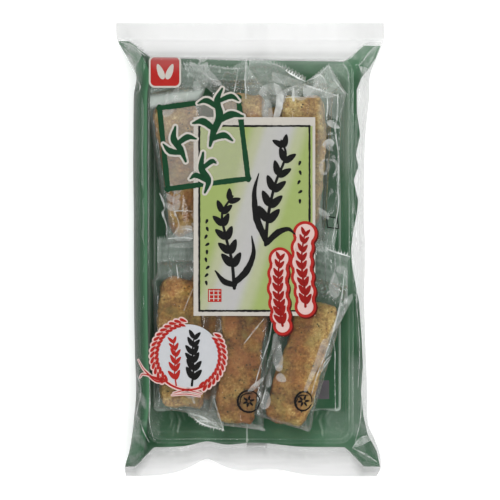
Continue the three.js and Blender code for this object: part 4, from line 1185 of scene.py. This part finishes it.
WRAPPER_FACETS = [
    (0.16, [(12.8, 104.1), (22, 101.4), (30.9, 97.8), (30.9, 94.2), (20, 96.4), (12.8, 98.4)]),
    (0.42, [(13.4, 97.8), (17.4, 96), (19.8, 90.2), (19.2, 84), (17, 76.9), (13.4, 76.9), (15, 84), (15.4, 90.2)]),
    (0.26, [(4.7, 91.8), (7.6, 96), (13.4, 97.8), (15.4, 90.2), (12.9, 90.8), (10.5, 91.8), (7, 88.9)]),
    (0.22, [(7, 88.6), (12.2, 87.2), (13.6, 76.9), (6.8, 76.9)]),
    (0.30, [(30.9, 96.4), (36.8, 95.2), (44.4, 92.3), (50.8, 90), (45, 88.6), (30.9, 88.8)]),
    (0.18, [(37.3, 101.2), (40.8, 102.3), (43.7, 98.8), (44.9, 91.8), (36.7, 95.2)]),
    (0.12, [(45.4, 90), (50.8, 90), (50.8, 76), (47.5, 76.9), (45, 80)]),
    (0.22, [(-43.3, 13.6), (-33.4, 14.6), (-33.4, 5.2), (-44, 5.2)]),
    (0.28, [(-33, 98.4), (-29, 98.6), (-28.4, 94), (-31, 92.6), (-33.2, 94)]),
    (0.36, [(44.3, 74.9), (47.2, 76.1), (51.3, 73.2), (52.5, 70.8), (49, 70.8), (45.5, 72.6)]),
    (0.25, [(44.9, 67.3), (46.6, 69.1), (48.4, 68.5), (48.4, 66.8)]),
    (0.36, [(42, 61.5), (44.3, 64.4), (47.2, 65), (49.6, 62.7), (47.8, 59.8), (49, 57.4), (46.1, 58), (43.1, 59.8)]),
    (0.24, [(39.8, 25.4), (46.0, 21.3), (46.2, 17.2), (40.2, 20.9)]),
    (0.24, [(51.4, -33), (59.6, -24.8), (60.2, -28.3), (53.1, -41.2), (46.7, -51.7), (44.4, -52.9), (50.2, -40)]),
    (0.12, [(-36.2, -94.9), (-29.2, -96.1), (-21, -98.4), (-16.4, -104.4), (-22.2, -103.4), (-29.2, -100.7)]),
    (0.22, [(42.1, -51.8), (47.4, -51.8), (46.8, -60), (39.8, -68.2), (32.8, -83.4), (31, -82.2), (37.4, -65.8)]),
    (0.3, [(-1.8, -82.7), (1.2, -78.7), (7.6, -74), (8.2, -75.7), (2.3, -82.1)])]
TEETH = [  # serrated cut edges with painted glints: how white, how high the teeth are, and the edge's line
    (0.30, 1.3, [(-40.5, 108.0), (-24, 107.4), (-11, 105.6), (-2, 106.2)]),
    (0.28, 1.3, [(0, 110.0), (10.5, 109.2), (20.0, 106.0)]),
    (0.95, 2.2, [(20.6, 104.6), (26.6, 101.2), (32.4, 98.2)]),
    (0.85, 2.0, [(44.6, 0.6), (50.5, -1.5), (58.6, -4.0)]),
    (0.6, 2.0, [(-15.5, -104.4), (-22.2, -103.2), (-28.6, -101.0), (-33.5, -97.0)])]
MARKS_SCALE = 0.988  # of all the lists above, which are laid out a little large
TOOTH_PITCH = 1.7
# Painted highlights and sheen: a thin, patchy white layer over the clear film, as white as each mark's attribute says.
painted_highlight_film = material("film_with_painted_highlights")
see = add(painted_highlight_film, "ShaderNodeBsdfTransparent", Color=linear("#ffffff"))
whitened = add(painted_highlight_film, "ShaderNodeBsdfDiffuse", Color=linear("#dfe2df"))
place = add(painted_highlight_film, "ShaderNodeTexCoord")
patchy = add(painted_highlight_film, "ShaderNodeTexNoise", {"Vector": place.outputs["Object"]}, Scale=160, Detail=2)
mottled = add(painted_highlight_film, "ShaderNodeMapRange", {"Value": patchy.outputs["Fac"]}, From_Min=0.35, From_Max=0.65,
              To_Min=0.45, To_Max=1.25)
milky = add(painted_highlight_film, "ShaderNodeAttribute", attribute_name="milky")
amount = add(painted_highlight_film, "ShaderNodeMath", {0: mottled.outputs["Result"], 1: milky.outputs["Fac"]},
             operation="MULTIPLY", use_clamp=True)
half_white = add(painted_highlight_film, "ShaderNodeMixShader", {0: amount.outputs[0], 1: see.outputs[0], 2: whitened.outputs[0]})
add(painted_highlight_film, "ShaderNodeOutputMaterial", {"Surface": half_white.outputs[0]})
on_bag = lambda xy, layer: np.stack([xy[:, 0], along(xy[:, 0], xy[:, 1]), front_z(xy[:, 0], xy[:, 1]) + 0.06 + 0.04 * layer], 1)


def rounded_off(corners):
    """The polygon with a short curve at each corner."""
    p = np.array(corners, float)
    outline = []
    for before, here, after in zip(np.roll(p, 1, 0), p, np.roll(p, -1, 0)):
        a, b = between(here, before, 0.25), between(here, after, 0.25)
        outline += [between(between(a, here, t), between(here, b, t), t) for t in (0, 0.25, 0.5, 0.75, 1)]
    return outline


def teeth(line, height, seed):
    """Small pointed teeth side by side along a line, on its left, and the line itself, as painted glints."""
    path = smooth_path(line, 40)
    length = np.concatenate([[0], np.cumsum(np.hypot(*np.diff(path, axis=0).T))])
    at = lambda d: np.array([np.interp(d, length, path[:, k]) for k in (0, 1)])
    dice = random.Random(seed)
    outlines = []
    for k in range(int(length[-1] / TOOTH_PITCH)):
        a, b = at(k * TOOTH_PITCH), at((k + 0.55) * TOOTH_PITCH)
        out = np.array((a[1] - b[1], b[0] - a[0])) / np.hypot(*(b - a)) * height * dice.uniform(0.5, 1.2)
        outlines.append([tuple(a), tuple(b), tuple(between(a, b, dice.uniform(0.3, 0.8)) + out)])
    return outlines + stroke(line, [0.1, 0.45 * height, 0.4 * height, 0.1], rough=0.3, seed=seed)


def film_marks(name, shapes, layer, whiteness, place):
    shapes = [[(x * MARKS_SCALE, y * MARKS_SCALE) for x, y in shape] for shape in shapes]
    marks = ink_shapes(name, shapes, layer, painted_highlight_film, place, cell=1.5)
    set_values(marks, milky=[np.full(len(marks.data.vertices), whiteness)])


for name, folds, layer, place in (("bag_fold_highlights", BAG_FOLDS, 1, on_bag), ("wrapper_fold_highlights", WRAPPER_FOLDS, 8, inside_front)):
    shapes = [q for k, (path, widths) in enumerate(folds) for q in stroke(path, widths, rough=0.25, seed=60 + k)]
    film_marks(name, shapes, layer, 0.42, place)
for name, facets, layer, place in (("bag_facet_sheen", BAG_FACETS, 0, on_bag), ("wrapper_facet_sheen", WRAPPER_FACETS, 9, inside_front)):
    for k, (whiteness, corners) in enumerate(facets):
        film_marks(f"{name}_{k + 1}", [rounded_off(corners)], layer + 0.1 * k, whiteness, place)
for k, (whiteness, height, line) in enumerate(TEETH):
    film_marks(f"cut_edge_glints_{k + 1}", teeth(line, height, 90 + k), 7.5, whiteness, inside_front)

# ---------------------------------------------------------------------------------------------
# Corner badge. A plain red rounded square with a white rim, and a white grain pair in it.
# ---------------------------------------------------------------------------------------------
BADGE = (-49.0, 102.8)


def rounded_square(half, corner):
    return [(x + BADGE[0], y + BADGE[1]) for x, y, _ in rounded_loop((-half, half, -half, half), corner, 0, 1, 1)]


ink_shapes("badge_rim", [rounded_square(9.3, 3.4)], 1.0, card, cell=1.0)
ink_shapes("badge_field", [rounded_square(8.3, 2.7)], 0.5, red, cell=1.0)
ink_shapes("badge_grains", [grain(BADGE[0] - 2.6, BADGE[1], 9.5, 3.6, 112), grain(BADGE[0] + 2.8, BADGE[1], 9.5, 3.6, 68)],
           0.0, card, cell=1.0)

# ---------------------------------------------------------------------------------------------
# Camera, lights and floor. A studio: straight above on a long lens, two long softboxes and a
# broad soft light, and a white table.
# ---------------------------------------------------------------------------------------------
camera = bpy.data.objects.new("camera", bpy.data.cameras.new("camera"))
camera.data.sensor_width = 36
camera.data.lens = 184.3
camera.location = (0.0, 0.0, 1.504)
bpy.context.scene.collection.objects.link(camera)
bpy.context.scene.camera = camera


def softbox(name, place, size, watts, in_reflections=True):
    lamp = bpy.data.lights.new(name, "AREA")
    lamp.shape, lamp.size, lamp.size_y, lamp.energy = "RECTANGLE", *size, watts
    box = bpy.data.objects.new(name, lamp)
    box.location = place
    box.rotation_euler = (-Vector(place)).to_track_quat("-Z", "Y").to_euler()
    box.visible_glossy = in_reflections
    bpy.context.scene.collection.objects.link(box)


softbox("softbox_left", (-1.0, 0.1, 0.9), (0.16, 1.4), 2.4)
softbox("softbox_right", (1.0, 0.1, 0.9), (0.16, 1.4), 3.6)
softbox("softbox_far", (0.0, 1.1, 1.1), (1.4, 0.16), 4.6)
softbox("overhead", (0.0, 0.0, 1.8), (1.6, 1.6), 24, in_reflections=False)

world = bpy.data.worlds.new("studio")
world.use_nodes = True
sky = world.node_tree.nodes["Background"]
sky.inputs["Color"].default_value = linear("#ffffff")
heading = add(world, "ShaderNodeTexCoord")
height = add(world, "ShaderNodeSeparateXYZ", {"Vector": heading.outputs["Generated"]})
dim = add(world, "ShaderNodeMapRange", {"Value": height.outputs["Z"]}, From_Min=0.80, From_Max=0.97,
          To_Min=0.42, To_Max=0.12)
world.node_tree.links.new(dim.outputs["Result"], sky.inputs["Strength"])
bpy.context.scene.world = world

white = material("white_table")
top = bpy.data.meshes.new("table")
top.from_pydata([(-4, -4, -0.00005), (4, -4, -0.00005), (4, 4, -0.00005), (-4, 4, -0.00005)], [], [(0, 1, 2, 3)])
top.materials.append(white)
table = bpy.data.objects.new("table", top)
bpy.context.scene.collection.objects.link(table)
paint = add(white, "ShaderNodeBsdfPrincipled", Base_Color=linear("#fafafa"), Roughness=0.9, Emission_Strength=0.19)
paint.inputs["Emission Color"].default_value = linear("#ffffff")
add(white, "ShaderNodeOutputMaterial", {"Surface": paint.outputs[0]})

bpy.context.scene.view_settings.view_transform = "Standard"
bpy.context.scene.cycles.transparent_max_bounces = 32
